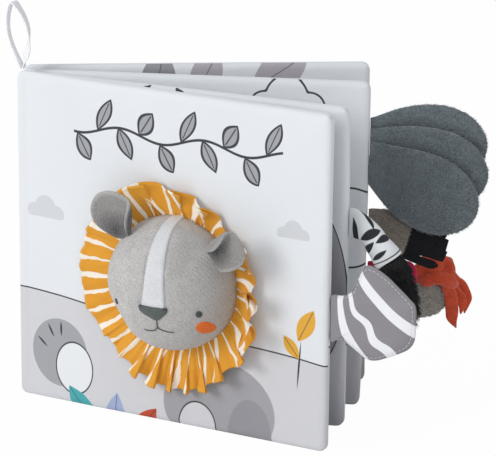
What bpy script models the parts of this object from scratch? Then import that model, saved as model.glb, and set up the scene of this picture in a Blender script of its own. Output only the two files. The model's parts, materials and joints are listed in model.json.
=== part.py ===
"""A crinkle cloth book that stands open on its bottom edges, spine upright at the left.

Four padded boards (two covers and two leaves) are sewn at their roots to a cloth spine. A
stuffed lion head with a gathered mane is sewn to the front cover, and tails, a plush ear, a tab
and a flap are sewn into the fore edges. Metres, +Z up, the front is -Y.
"""

import math

import bmesh
import bpy
from mathutils import Matrix, Vector

MM = 0.001

# General sewing sizes
CLOTH = 0.8 * MM
SOFT_GAP = 0.35 * MM
SEAM_GAP = 0.3 * MM
STUFFING_GAP = 0.3 * MM
SMOOTH_ANGLE = math.radians(35)

# Boards, in order from the back to the front
BOARD_NAMES = ("back_cover", "leaf_2", "leaf_1", "front_cover")
REST_ANGLES = (0.0, 10.9, 13.8, 6.3)
BOARD_WIDTH = 200 * MM
COVER_HEIGHT = 198 * MM
LEAF_INSET = 1.5 * MM
BOARD_THICKNESS = 7 * MM
BOARD_CROWN = 0.4 * MM
HEM_THICKNESS = 3 * MM
HEM_SPACING = 1 * MM
HEM_RUN = 2 * MM
TAPER_RUN = 70 * MM
EDGE_RUN = 7 * MM
CORNER_RADIUS = 7 * MM
FOOT_CUT = 0.5 * MM
SWELL_POWER = 2.6
TAPER_STEP_SHARES = (0.29, 0.64, 1.0)
EDGE_STEP_SHARE = 0.36
FILM_THICKNESS = 0.4 * MM

# Spine cloth, whose outer face is just inside the line that the boards hinge on
SPINE_SETBACK = 0.75 * MM
SPINE_GAP = 0.3 * MM

# Ribbon loop on the spine's head
LOOP_HEIGHT = 40 * MM
LOOP_HALF_WIDTH = 8 * MM
LOOP_RIBBON_WIDTH = 8 * MM
LOOP_RIBBON = 1.1 * MM
LOOP_ROOT_RADIUS = 1.7 * MM
LOOP_FOOT = 4.5 * MM
LOOP_STEPS = 20
LOOP_FULLNESS = 0.8

# Lion head on the front cover
HEAD_ACROSS = 105 * MM
HEAD_UP = 88 * MM
HEAD_HALF_WIDTH = 39.5 * MM
HEAD_HALF_HEIGHT = 39.5 * MM
HEAD_DEPTH = 34 * MM
HEAD_POWER = 2.4
HEAD_PLUSH = 1.3 * MM
HEAD_SEGMENTS = 28
HEAD_RING_SHARES = (1.0, 0.985, 0.93, 0.8, 0.6, 0.36, 0.12)

# Face pieces, placed from the middle of the head: across, up, half width, half height
TRIM = 0.9 * MM
TRIM_GAP = 0.75 * MM
NOSE_PLACE = (3 * MM, -9 * MM, 9 * MM, 4.6 * MM)
NOSE_RISE = 1.6 * MM
EYE_HALF_SPACING = 25 * MM
EYE_PLACE = (1.4 * MM, -9.5 * MM, 2.4 * MM, 2.6 * MM)
CHEEK_HALF_SPACING = 27 * MM
CHEEK_PLACE = (1.4 * MM, -17.5 * MM, 5.4 * MM, 3.8 * MM)
BLAZE_PLACE = (3.5 * MM, 15 * MM, 8.5 * MM, 17 * MM)
BLAZE_LEAN_SHARE = 0.12
BLAZE_NARROW_SHARE = 0.62
MOUTH_HALF_WIDTH = 9 * MM
MOUTH_DROP = 3.6 * MM
MOUTH_CURL_SHARE = 0.7
MOUTH_UP = -20 * MM
LIP_LENGTH = 5.5 * MM
THREAD_RADIUS = 0.5 * MM
MOUTH_STEPS = 8
TRIM_SEGMENTS = 14
TRIM_RING_SHARES = (0.15, 0.6, 1.0)

# Lion ears: disc size, and the direction of each from the middle of the head
LION_EAR_HALF_WIDTH = 14 * MM
LION_EAR_LENGTH = 25 * MM
LION_EAR_HALF_THICKNESS = 3 * MM
LION_EAR_RING_SHARES = (0.15, 0.6, 0.88, 1.0)
LION_EAR_RIM_SHARE = 0.94
LION_EAR_CUP = 2.2 * MM
LION_EAR_ROOT = 2.2 * MM
LION_EAR_CLEARANCE = 0.7 * MM
LION_EAR_HEIGHT = 17 * MM
LION_EAR_DIRECTIONS = {"left": 127.0, "right": 26.0}
LION_EAR_TILT = 12.0

# Mane: a gathered ring of doubled cotton round the head
MANE_OUTER = 59 * MM
MANE_SHIFT = (-4 * MM, -3 * MM)
MANE_THICKNESS = 1.2 * MM
MANE_PLEATS = 24
MANE_STEPS_PER_PLEAT = 6
MANE_RUFFLE = 2.4 * MM
MANE_RING_SHARES = (0.0, 0.4, 1.0)

# What the fore edges carry hinges on a line just outside the seam
ROOT_RADIUS = 2.5 * MM
ROOT_START_SHARE = 0.8
ROOT_START_DEPTH_SHARE = 0.5
LIMB_SIDES = 12
UPRIGHT_RINGS = 2
PLUSH = 1.0 * MM
LIMB_STUFFING_GAP = 0.7 * MM

# Slate plush ear on leaf 2: three stuffed lobes that fan from one seam
LOBE_NAMES = ("front", "middle", "back")
LOBE_ROOT_HEIGHTS = (151 * MM, 158 * MM, 165 * MM)
LOBE_SLOPES = (-27.0, -15.5, -4.5)
LOBE_LENGTHS = (61 * MM, 64 * MM, 63 * MM)
LOBE_HALF_WIDTH = 22.5 * MM
LOBE_ROOT_HALF_WIDTH = 11.5 * MM
LOBE_ROOT_SPACING = 2.8 * MM
LOBE_SPACING = 8.8 * MM
LOBE_SPREAD_RUN = 24 * MM
LOBE_GAP = 0.5 * MM
LOBE_STEP_SHARES = (0.0, 0.16, 0.36, 0.58, 0.8, 0.93, 1.0)
LOBE_WIDEST_SHARE = 0.6
LOBE_TIP_SHARE = 0.4
LOBE_SIDE_SETBACK = 1.4 * MM
LOBE_AXIS_SETBACK = 4.3 * MM
LOBE_PLUSH = 0.8 * MM

# White tail on leaf 1: path from the hinge line, across and up from its root, half sizes
WHITE_TAIL_ROOT = 128 * MM
WHITE_TAIL_PATH = ((0 * MM, 0 * MM), (8 * MM, -4.5 * MM), (15 * MM, -12 * MM), (21 * MM, -19 * MM))
WHITE_TAIL_HALF_WIDTHS = (9.5 * MM, 8.6 * MM, 9 * MM, 10 * MM)
WHITE_TAIL_HALF_DEPTHS = (ROOT_RADIUS, 5.2 * MM, 6.4 * MM, 6.6 * MM)
TUFT_PATH = (
    (0 * MM, 0 * MM),
    (4 * MM, -6 * MM),
    (9 * MM, -17 * MM),
    (12 * MM, -29 * MM),
    (13 * MM, -37 * MM),
)
TUFT_HALF_WIDTHS = (9 * MM, 11.6 * MM, 12.4 * MM, 9.6 * MM, 4.2 * MM)
TUFT_HALF_DEPTHS = (6 * MM, 7.4 * MM, 7.8 * MM, 6.4 * MM, 3 * MM)

# Taupe tail with its black felt tuft, on leaf 2
TAUPE_TAIL_ROOT = 109 * MM
TAUPE_TAIL_PATH = ((0 * MM, 0 * MM), (7 * MM, -1 * MM), (14 * MM, -3.2 * MM), (20 * MM, -5.6 * MM))
TAUPE_TAIL_HALF_WIDTHS = (12.6 * MM, 12.4 * MM, 11.6 * MM, 10.4 * MM)
TAUPE_TAIL_HALF_DEPTHS = (ROOT_RADIUS, 6 * MM, 7 * MM, 6.4 * MM)
FELT_THICKNESS = 5 * MM
FELT_LENGTH = 27 * MM
FELT_HALF_WIDTH = 9.6 * MM
FELT_OUTLINE_SHARES = (
    (0.0, -0.82),
    (0.22, -1.0),
    (0.34, -0.62),
    (0.72, -0.7),
    (0.86, -0.36),
    (0.8, 0.12),
    (1.0, 0.62),
    (0.7, 0.36),
    (0.76, 0.9),
    (0.48, 0.62),
    (0.3, 0.94),
    (0.0, 0.86),
)

# Crimson tab on leaf 2, under the taupe tail
TAB_ROOT = 77 * MM
TAB_PATH = ((0 * MM, 0 * MM), (8 * MM, 0 * MM), (17 * MM, 0 * MM), (23 * MM, 0 * MM))
TAB_HALF_WIDTHS = (9 * MM, 10.5 * MM, 10 * MM, 5 * MM)
TAB_HALF_DEPTHS = (ROOT_RADIUS, 3.6 * MM, 3.4 * MM, 1.6 * MM)

# Greige tail on the back cover, and the fleece strips tied round its end
GREIGE_TAIL_ROOT = 53 * MM
GREIGE_TAIL_PATH = (
    (0 * MM, 0 * MM),
    (10 * MM, 0 * MM),
    (26 * MM, 0 * MM),
    (42 * MM, 0 * MM),
    (48 * MM, 0 * MM),
)
GREIGE_TAIL_HALF_WIDTHS = (13 * MM, 14 * MM, 14.5 * MM, 13.6 * MM, 8 * MM)
GREIGE_TAIL_HALF_DEPTHS = (ROOT_RADIUS, 7.4 * MM, 8 * MM, 7.6 * MM, 4.5 * MM)
KNOT_HALF_LENGTH = 8 * MM
KNOT_HALF_WIDTH = 4.5 * MM
KNOT_HALF_DEPTH = 7 * MM
KNOT_ACROSS = 36 * MM
KNOT_BULGE_SHARES = ((-1.0, 0.6), (-0.55, 0.9), (0.0, 1.0), (0.55, 1.0), (1.0, 0.9))
STRIP_HALF_WIDTH = 2.6 * MM
STRIP_HALF_DEPTH = 2 * MM
STRIP_SIDES = 8
STRIP_SIDE_STEP = 4.4 * MM
STRIP_PATHS = {
    "near": (
        (0 * MM, 0 * MM),
        (6 * MM, -2 * MM),
        (9 * MM, -11 * MM),
        (7.6 * MM, -24 * MM),
        (10 * MM, -35 * MM),
    ),
    "middle": (
        (0 * MM, 0 * MM),
        (8 * MM, -1 * MM),
        (14 * MM, -8 * MM),
        (16 * MM, -20 * MM),
        (13 * MM, -31 * MM),
    ),
    "far": (
        (0 * MM, 0 * MM),
        (7 * MM, -3 * MM),
        (11 * MM, -12 * MM),
        (10 * MM, -22 * MM),
        (12 * MM, -29 * MM),
    ),
}

# Striped flap on the front cover: outline across and up, as shares of its length and height
FLAP_LENGTH = 50 * MM
FLAP_HEIGHT = 56 * MM
FLAP_FOOT = 59 * MM
FLAP_RISE = 2.6 * MM
FLAP_OUTLINE_SHARES = (
    (0.0, 0.13),
    (0.2, 0.1),
    (0.47, 0.0),
    (0.68, 0.02),
    (0.88, 0.14),
    (0.98, 0.3),
    (1.0, 0.5),
    (0.97, 0.68),
    (0.76, 0.83),
    (0.45, 0.99),
    (0.36, 0.99),
    (0.27, 0.86),
    (0.17, 0.7),
    (0.0, 0.63),
)
FLAP_CENTRE_SHARES = (0.5, 0.44)
FLAP_RING_SHARES = (1.0, 0.92, 0.8, 0.5, 0.2)
FLAP_RISE_POWER = 4
FLAP_SEAM_RINGS = 2

BOARD_HALF = BOARD_THICKNESS / 2
HEM_HALF = HEM_THICKNESS / 2
SEAM_HALF = SEAM_GAP / 2
ROOT_PITCH = HEM_THICKNESS + HEM_SPACING
BOARD_MIDDLE = -ROOT_PITCH / 2
BOARD_ROOT = SPINE_SETBACK + CLOTH + SPINE_GAP
FORE_EDGE = BOARD_ROOT + BOARD_WIDTH
LIMB_AXIS = FORE_EDGE + SEAM_GAP + ROOT_RADIUS
LOBE_AXIS = FORE_EDGE + LOBE_AXIS_SETBACK


def make_material(name, colour, roughness):
    material = bpy.data.materials.new(name)
    material.use_nodes = True
    shader = material.node_tree.nodes["Principled BSDF"]
    shader.inputs["Base Color"].default_value = (*colour, 1.0)
    shader.inputs["Roughness"].default_value = roughness
    shader.inputs["Metallic"].default_value = 0.0
    return material


def clear_scene():
    for old in list(bpy.data.objects):
        bpy.data.objects.remove(old)


def make_empty(name, parent, place, turn=0.0, axis="Z"):
    """An empty at a joint's axis, turned in degrees about one of its own axes."""
    empty = bpy.data.objects.new(name, None)
    bpy.context.scene.collection.objects.link(empty)
    empty.parent = parent
    empty.matrix_local = Matrix.Translation(place) @ Matrix.Rotation(math.radians(turn), 4, axis)
    return empty


def make_object(name, points, faces, material, parent, closed=True):
    mesh = bpy.data.meshes.new(name)
    mesh.from_pydata(points, [], faces)
    mesh.materials.append(material)
    if closed:
        work = bmesh.new()
        work.from_mesh(mesh)
        bmesh.ops.recalc_face_normals(work, faces=work.faces)
        if work.calc_volume(signed=True) < 0:
            bmesh.ops.reverse_faces(work, faces=work.faces)
        work.to_mesh(mesh)
        work.free()
    mesh.shade_smooth()
    mesh.set_sharp_from_angle(angle=SMOOTH_ANGLE)
    obj = bpy.data.objects.new(name, mesh)
    bpy.context.scene.collection.objects.link(obj)
    obj.parent = parent
    return obj


def add_wall(obj, thickness):
    """Gives an open surface its cloth thickness, inwards, so that its rim stays where it is sewn."""
    wall = obj.modifiers.new("wall", "SOLIDIFY")
    wall.thickness = thickness
    wall.offset = -1.0
    wall.use_even_offset = True


def row_faces(rows, columns, ring):
    """Quads between rows of points; ring joins each row's last point to its first."""
    faces = []
    for row in range(rows - 1):
        for column in range(columns if ring else columns - 1):
            following = (column + 1) % columns
            faces.append(
                (
                    row * columns + column,
                    (row + 1) * columns + column,
                    (row + 1) * columns + following,
                    row * columns + following,
                )
            )
    return faces


def solid_of_rings(name, rings, material, parent):
    """A closed solid through rings of points, with a flat cap on each end."""
    columns = len(rings[0])
    faces = row_faces(len(rings), columns, ring=True)
    last = (len(rings) - 1) * columns
    faces.append(tuple(range(columns)))
    faces.append(tuple(range(last + columns - 1, last - 1, -1)))
    return make_object(name, [point for ring in rings for point in ring], faces, material, parent)


def loop_of_rings(name, rings, material, parent):
    """A closed solid whose last ring joins its first, as in a band that has a hole."""
    columns = len(rings[0])
    faces = row_faces(len(rings), columns, ring=True)
    last = (len(rings) - 1) * columns
    for column in range(columns):
        following = (column + 1) % columns
        faces.append((last + column, column, following, last + following))
    return make_object(name, [point for ring in rings for point in ring], faces, material, parent)


def skin_of_rings(name, rings, material, parent, thickness, outwards=True):
    """A cloth or plush skin that is open at its first ring and capped at its last."""
    columns = len(rings[0])
    faces = row_faces(len(rings), columns, ring=True)
    last = (len(rings) - 1) * columns
    faces.append(tuple(range(last + columns - 1, last - 1, -1)))
    if not outwards:
        faces = [tuple(reversed(face)) for face in faces]
    points = [point for ring in rings for point in ring]
    skin = make_object(name, points, faces, material, parent, closed=False)
    add_wall(skin, thickness)
    return skin


def rise_from_edge(distance, run):
    """0 at a seam, 1 from the stated run inwards: the rounded side of a stuffed board."""
    left = 1 - min(distance / run, 1)
    return (1 - left**SWELL_POWER) ** (1 / SWELL_POWER)


def board_half_thickness(across, up, height):
    """Half the padded thickness at a place on a board, from its root and its lower edge."""
    taper = 1 - (1 - min(across / TAPER_RUN, 1)) ** 2
    crown = BOARD_CROWN * math.sin(math.pi * across / BOARD_WIDTH) * math.sin(math.pi * up / height)
    full = HEM_HALF + (BOARD_HALF - HEM_HALF) * taper + crown
    edge = min(BOARD_WIDTH - across, up, height - up)
    rise = rise_from_edge(edge, EDGE_RUN) * rise_from_edge(across, HEM_RUN)
    return SEAM_HALF + (full - SEAM_HALF) * rise


def width_stations():
    tapers = [TAPER_RUN * share for share in TAPER_STEP_SHARES]
    middle = (TAPER_RUN + BOARD_WIDTH) / 2
    edge_step = EDGE_RUN * EDGE_STEP_SHARE
    edge = [BOARD_WIDTH - EDGE_RUN, BOARD_WIDTH - edge_step, BOARD_WIDTH]
    return [0.0, HEM_RUN, *tapers, middle, *edge]


def height_stations(height):
    edge_step = EDGE_RUN * EDGE_STEP_SHARE
    low = [0.0, FOOT_CUT, edge_step, EDGE_RUN]
    high = [height - EDGE_RUN, height - edge_step, height]
    return [*low, height / 2, *high]


def rounded_plan(across, up, height):
    """Moves a place near a fore-edge corner of the board's outline on to its rounded corner."""
    middle_up = height / 2
    side_up = math.copysign(1, up - middle_up)
    past_across = across - (BOARD_WIDTH - CORNER_RADIUS)
    past_up = abs(up - middle_up) - (middle_up - CORNER_RADIUS)
    if past_across <= 0 or past_up <= 0:
        return across, up
    share_across, share_up = past_across / CORNER_RADIUS, past_up / CORNER_RADIUS
    moved_across = past_across * math.sqrt(1 - share_up**2 / 2) - past_across
    moved_up = past_up * math.sqrt(1 - share_across**2 / 2) - past_up
    return across + moved_across, up + side_up * moved_up


def sheet_between(name, outer, inner, material, parent):
    """A closed sheet of cloth between two like grids of points, with a rim round their edges."""
    rows, columns = len(outer), len(outer[0])
    count = rows * columns
    faces = row_faces(rows, columns, ring=False)
    faces += [tuple(count + index for index in reversed(face)) for face in faces]
    rim = list(range(columns))
    rim += [row * columns + columns - 1 for row in range(1, rows)]
    rim += [(rows - 1) * columns + column for column in reversed(range(columns - 1))]
    rim += [row * columns for row in reversed(range(1, rows - 1))]
    for here, following in zip(rim, rim[1:] + rim[:1]):
        faces.append((here, following, count + following, count + here))
    points = [point for grid in (outer, inner) for row in grid for point in row]
    return make_object(name, points, faces, material, parent)


def board_panel(name, side, height, foot, material, parent):
    """One sheet of a board: side is -1 for its front and 1 for its rear."""
    slim_across = 1 - 2 * CLOTH / BOARD_WIDTH
    slim_up = 1 - 2 * CLOTH / (height - FOOT_CUT)
    outer, inner = [], []
    for across in width_stations():
        outer_row, inner_row = [], []
        for up in height_stations(height):
            half = board_half_thickness(across, up, height)
            plan_across, plan_up = rounded_plan(across, up, height)
            lifted = max(plan_up - FOOT_CUT, 0.0)
            inner_half = max(half - CLOTH, SEAM_HALF)
            outer_row.append((BOARD_ROOT + plan_across, BOARD_MIDDLE + side * half, foot + lifted))
            inner_across = BOARD_ROOT + CLOTH + plan_across * slim_across
            inner_up = foot + CLOTH + lifted * slim_up
            inner_row.append((inner_across, BOARD_MIDDLE + side * inner_half, inner_up))
        outer.append(outer_row)
        inner.append(inner_row)
    sheet_between(name, outer, inner, material, parent)


def board_filling(name, front_inset, rear_inset, height, foot, material, parent):
    """A flat filling inside a board, held this far below its front and its rear face."""
    rings = []
    for across in width_stations()[2:-2]:
        front, rear = [], []
        for up in height_stations(height)[3:-2]:
            half = board_half_thickness(across, up, height)
            place = BOARD_ROOT + across, foot + up - FOOT_CUT
            front.append((place[0], BOARD_MIDDLE - (half - front_inset), place[1]))
            rear.append((place[0], BOARD_MIDDLE + rear_inset(half), place[1]))
        rings.append(front + rear[::-1])
    solid_of_rings(name, rings, material, parent)


def make_board(name, frame, materials):
    """Front and rear cloth, wadding and crinkle film of one board, and its strip of spine cloth."""
    inset = LEAF_INSET if name.startswith("leaf") else 0.0
    height = COVER_HEIGHT - 2 * inset + FOOT_CUT
    board_panel(f"{name}_front_cloth", -1, height, inset, materials["cover_cloth"], frame)
    board_panel(f"{name}_rear_cloth", 1, height, inset, materials["cover_cloth"], frame)
    film_front = CLOTH + SOFT_GAP
    film_rear = film_front + FILM_THICKNESS
    board_filling(
        f"{name}_crinkle_film",
        film_front,
        lambda half: film_rear - half,
        height,
        inset,
        materials["film"],
        frame,
    )
    board_filling(
        f"{name}_wadding",
        film_rear + SOFT_GAP,
        lambda half: half - CLOTH - SOFT_GAP,
        height,
        inset,
        materials["wadding"],
        frame,
    )
    half_gap = SPINE_GAP / 2
    outline = [
        (SPINE_SETBACK, -ROOT_PITCH + half_gap),
        (SPINE_SETBACK + CLOTH, -ROOT_PITCH + half_gap),
        (SPINE_SETBACK + CLOTH, -half_gap),
        (SPINE_SETBACK, -half_gap),
    ]
    rings = [[(x, y, z) for x, y in outline] for z in (0.0, COVER_HEIGHT)]
    solid_of_rings(f"{name}_spine_cloth", rings, materials["cover_cloth"], frame)


def make_loop(frame, material):
    """The hanging loop: a drop-shaped band of ribbon, whose foot turns in its own round hem."""
    outer, inner = [], []
    for step in range(LOOP_STEPS):
        turn = 2 * math.pi * (step + 0.5) / LOOP_STEPS
        rise = (1 - math.cos(turn)) / 2
        swell = math.sin(turn) * rise**LOOP_FULLNESS
        across = swell * LOOP_HALF_WIDTH / LOOP_FULLNESS
        foot = LOOP_ROOT_RADIUS * math.sin(turn) * (1 - rise)
        top = LOOP_HEIGHT - LOOP_ROOT_RADIUS
        outer.append((across + foot, rise * (top + LOOP_ROOT_RADIUS) - LOOP_ROOT_RADIUS))
        inner_across = across * (1 - LOOP_RIBBON / LOOP_HALF_WIDTH)
        inner.append((inner_across, LOOP_FOOT + rise * (top - LOOP_RIBBON - LOOP_FOOT)))
    near, far = -LOOP_RIBBON_WIDTH / 2, LOOP_RIBBON_WIDTH / 2
    rings = [
        [(x, near, z) for x, z in outer],
        [(x, far, z) for x, z in outer],
        [(x, far, z) for x, z in inner],
        [(x, near, z) for x, z in inner],
    ]
    loop_of_rings("hanging_loop", rings, material, frame)


def cover_face(across, up):
    """Depth of the front cover's front face at a place measured from its root and its foot."""
    height = COVER_HEIGHT + FOOT_CUT
    return BOARD_MIDDLE - board_half_thickness(across, up + FOOT_CUT, height)


def head_rise(across, up):
    """How far the stuffed head stands off the cover, at a place from the head's middle."""
    reach = math.hypot(across / HEAD_HALF_WIDTH, up / HEAD_HALF_HEIGHT)
    return HEAD_DEPTH * (1 - min(reach, 1) ** HEAD_POWER) ** (1 / HEAD_POWER)


def head_reach(lift):
    """The head's radius at a height over the cover."""
    return HEAD_HALF_WIDTH * (1 - (lift / HEAD_DEPTH) ** HEAD_POWER) ** (1 / HEAD_POWER)


def head_point(across, up, lift):
    """A place on the front cover's frame, this far off the cover's front face."""
    face = cover_face(BOARD_ROOT + HEAD_ACROSS, HEAD_UP)
    return (BOARD_ROOT + HEAD_ACROSS + across, face - lift, HEAD_UP + up)


def head_rings(inset, base):
    rings = []
    for share in HEAD_RING_SHARES:
        ring = []
        for step in range(HEAD_SEGMENTS):
            turn = 2 * math.pi * step / HEAD_SEGMENTS
            across = share * HEAD_HALF_WIDTH * math.cos(turn)
            up = share * HEAD_HALF_HEIGHT * math.sin(turn)
            rise = head_rise(across, up)
            slim = 1 - inset / HEAD_HALF_WIDTH
            lift = base + rise * (1 - inset / HEAD_DEPTH)
            ring.append(head_point(across * slim, up * slim, lift))
        rings.append(ring)
    return rings


def make_head(frame, materials):
    base = SEAM_GAP
    plush = materials["head_plush"], frame, HEAD_PLUSH
    skin_of_rings("lion_head_plush", head_rings(0.0, base), *plush, outwards=False)
    stuffing = head_rings(HEAD_PLUSH + STUFFING_GAP, base)
    solid_of_rings("lion_head_stuffing", stuffing, materials["wadding"], frame)


def trim_rings(place, rise, lean=0.0, narrow=1.0):
    """Rings of a thin sewn piece that follows the head: back from its middle, front to it."""
    middle_across, middle_up, half_width, half_height = place
    rings = []
    for front in (False, True):
        for share in reversed(TRIM_RING_SHARES) if front else TRIM_RING_SHARES:
            ring = []
            for step in range(TRIM_SEGMENTS):
                turn = 2 * math.pi * step / TRIM_SEGMENTS
                up = share * half_height * math.sin(turn)
                height_share = (up / half_height + 1) / 2
                slim = 1 - (1 - narrow) * height_share
                across = share * half_width * slim * math.cos(turn) + lean * up
                lift = TRIM_GAP + (TRIM + rise * (1 - share**2) if front else 0.0)
                surface = head_rise(middle_across + across, middle_up + up)
                ring.append(head_point(middle_across + across, middle_up + up, SEAM_GAP + surface + lift))
            rings.append(ring)
    return rings


def thread_on_head(name, places, material, frame):
    """An embroidered line on the head, as a round thread through places across and up."""
    curve = bpy.data.curves.new(name, "CURVE")
    curve.dimensions = "3D"
    curve.bevel_depth = THREAD_RADIUS
    curve.bevel_resolution = 1
    curve.use_fill_caps = True
    line = curve.splines.new("POLY")
    line.points.add(len(places) - 1)
    for point, (across, up) in zip(line.points, places):
        lift = SEAM_GAP + head_rise(across, up) + TRIM_GAP + THREAD_RADIUS
        point.co = (*head_point(across, up, lift), 1.0)
    curve.materials.append(material)
    thread = bpy.data.objects.new(name, curve)
    bpy.context.scene.collection.objects.link(thread)
    thread.parent = frame


def make_face(frame, materials):
    solid_of_rings("lion_nose", trim_rings(NOSE_PLACE, NOSE_RISE), materials["nose_plush"], frame)
    blaze = trim_rings(BLAZE_PLACE, 0.0, BLAZE_LEAN_SHARE, BLAZE_NARROW_SHARE)
    solid_of_rings("lion_blaze", blaze, materials["pale_plush"], frame)
    for side, sign in (("left", -1), ("right", 1)):
        eye = (EYE_PLACE[0] + sign * EYE_HALF_SPACING, *EYE_PLACE[1:])
        solid_of_rings(f"lion_eye_{side}", trim_rings(eye, 0.0), materials["black_thread"], frame)
        cheek = (CHEEK_PLACE[0] + sign * CHEEK_HALF_SPACING, *CHEEK_PLACE[1:])
        solid_of_rings(f"lion_cheek_{side}", trim_rings(cheek, 0.0), materials["orange_thread"], frame)
    mouth = []
    for step in range(MOUTH_STEPS + 1):
        share = 2 * step / MOUTH_STEPS - 1
        sag = MOUTH_DROP * math.sin(math.pi * MOUTH_CURL_SHARE * abs(share))
        mouth.append((NOSE_PLACE[0] + share * MOUTH_HALF_WIDTH, MOUTH_UP - sag))
    thread_on_head("lion_mouth", mouth, materials["black_thread"], frame)
    lip_top = MOUTH_UP + LIP_LENGTH
    lip_foot = MOUTH_UP + 2 * THREAD_RADIUS + TRIM_GAP
    lip = [(NOSE_PLACE[0], lip_top), (NOSE_PLACE[0], (lip_top + lip_foot) / 2), (NOSE_PLACE[0], lip_foot)]
    thread_on_head("lion_lip_line", lip, materials["black_thread"], frame)


def make_lion_ear(side, direction, head_frame, material):
    """A cupped, stuffed ear. Its frame lies on the fold line along the head: X is the fold line,
    Y points out from the head and Z off the cover."""
    turn = math.radians(direction)
    reach = head_reach(LION_EAR_HEIGHT) + LION_EAR_CLEARANCE + LION_EAR_ROOT
    place = head_point(reach * math.cos(turn), reach * math.sin(turn), LION_EAR_HEIGHT)
    outwards = Vector((math.cos(turn), 0.0, math.sin(turn)))
    off_cover = Vector((0.0, -1.0, 0.0))
    fold = outwards.cross(off_cover)
    axes = Matrix((fold, outwards, off_cover)).transposed().to_4x4()
    frame = make_empty(f"lion_ear_{side}_fold", head_frame, (0.0, 0.0, 0.0))
    tilt = Matrix.Rotation(math.radians(LION_EAR_TILT), 4, "X")
    frame.matrix_local = Matrix.Translation(place) @ axes @ tilt
    rings = []
    half_length = (LION_EAR_LENGTH + LION_EAR_ROOT) / 2
    for front in (False, True):
        for share in reversed(LION_EAR_RING_SHARES) if front else LION_EAR_RING_SHARES:
            ring = []
            for step in range(TRIM_SEGMENTS):
                angle = 2 * math.pi * step / TRIM_SEGMENTS
                across = share * LION_EAR_HALF_WIDTH * math.cos(angle)
                along = half_length - LION_EAR_ROOT + share * half_length * math.sin(angle)
                half = LION_EAR_HALF_THICKNESS * math.sqrt(1 - (share * LION_EAR_RIM_SHARE) ** 2)
                cup = LION_EAR_CUP * share**2 * min(max(along / half_length, 0.0), 1.0)
                ring.append((across, along, cup + (half if front else -half)))
            rings.append(ring)
    solid_of_rings(f"lion_ear_{side}", rings, material, frame)


def make_mane(frame, material):
    """A ring of doubled cotton, gathered into pleats that stand higher towards its outer edge."""
    inner = HEAD_HALF_WIDTH + SEAM_GAP
    steps = MANE_PLEATS * MANE_STEPS_PER_PLEAT
    rings = []
    for front in (False, True):
        for share in reversed(MANE_RING_SHARES) if front else MANE_RING_SHARES:
            ring = []
            for step in range(steps):
                turn = 2 * math.pi * step / steps
                reach = inner + share * (MANE_OUTER - inner)
                wave = (1 - math.cos(MANE_PLEATS * turn)) * MANE_RUFFLE * share
                across = reach * math.cos(turn) + share * MANE_SHIFT[0]
                up = reach * math.sin(turn) + share * MANE_SHIFT[1]
                lift = SEAM_GAP + wave + (MANE_THICKNESS if front else 0.0)
                ring.append(head_point(across, up, lift))
            rings.append(ring)
    loop_of_rings("lion_mane", rings, material, frame)


def limb_rings(path, half_widths, half_depths, inset=0.0, upright=0, sides=LIMB_SIDES):
    """Oval rings square to a path of places across and up, drawn in by an inset if one is given.
    As many of the first rings as upright says stand upright, along the fore edge."""
    points = [Vector((across, 0.0, up)) for across, up in path]
    rings = []
    for index, centre in enumerate(points):
        before, after = points[max(index - 1, 0)], points[min(index + 1, len(points) - 1)]
        along = (after - before).normalized()
        if index < upright:
            along = Vector((1.0, 0.0, 0.0))
        square = Vector((-along.z, 0.0, along.x))
        moved = centre - along * inset if index == len(points) - 1 else centre
        ring = []
        for step in range(sides):
            turn = 2 * math.pi * step / sides
            offset = square * (half_widths[index] - inset) * math.cos(turn)
            ring.append(moved + offset + Vector((0.0, (half_depths[index] - inset) * math.sin(turn), 0.0)))
        rings.append(ring)
    return rings


def rooted(path, half_widths, half_depths):
    """Puts a rounded root before a limb's path, so that it turns without touching the fore edge."""
    start = -ROOT_RADIUS * ROOT_START_SHARE
    path = ((start, path[0][1]), *path)
    half_widths = (half_widths[0] - CLOTH, *half_widths)
    return path, half_widths, (half_depths[0] * ROOT_START_DEPTH_SHARE, *half_depths)


def make_stuffed_limb(name, path, half_widths, half_depths, skin_name, skin, filling, parent):
    """A plush or cloth sock, open at its seam, and the stuffing inside it."""
    sizes = rooted(path, half_widths, half_depths)
    rings = limb_rings(*sizes, upright=UPRIGHT_RINGS)
    skin_of_rings(f"{name}_{skin_name}", rings, skin, parent, PLUSH)
    inner = limb_rings(*sizes, PLUSH + LIMB_STUFFING_GAP, UPRIGHT_RINGS)[1:]
    solid_of_rings(f"{name}_stuffing", inner, filling, parent)


def path_end(path):
    (before_across, before_up), (end_across, end_up) = path[-2:]
    along = Vector((end_across - before_across, 0.0, end_up - before_up)).normalized()
    return Vector((end_across, 0.0, end_up)), along


def make_white_tail(frame, materials):
    limb = (WHITE_TAIL_PATH, WHITE_TAIL_HALF_WIDTHS, WHITE_TAIL_HALF_DEPTHS)
    make_stuffed_limb("white_tail", *limb, "cloth", materials["printed_cloth"], materials["wadding"], frame)
    end, along = path_end(WHITE_TAIL_PATH)
    start = end + along * SEAM_GAP
    tuft_path = [(start.x + across, start.z + up) for across, up in TUFT_PATH]
    tuft = limb_rings(tuft_path, TUFT_HALF_WIDTHS, TUFT_HALF_DEPTHS)
    end_across = [point - end for point in limb_rings(*limb)[-1]]
    share = TUFT_HALF_WIDTHS[0] / WHITE_TAIL_HALF_WIDTHS[-1]
    tuft[0] = [start + offset * share for offset in end_across]
    solid_of_rings("white_tail_tuft", tuft, materials["black_plush"], frame)


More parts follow.
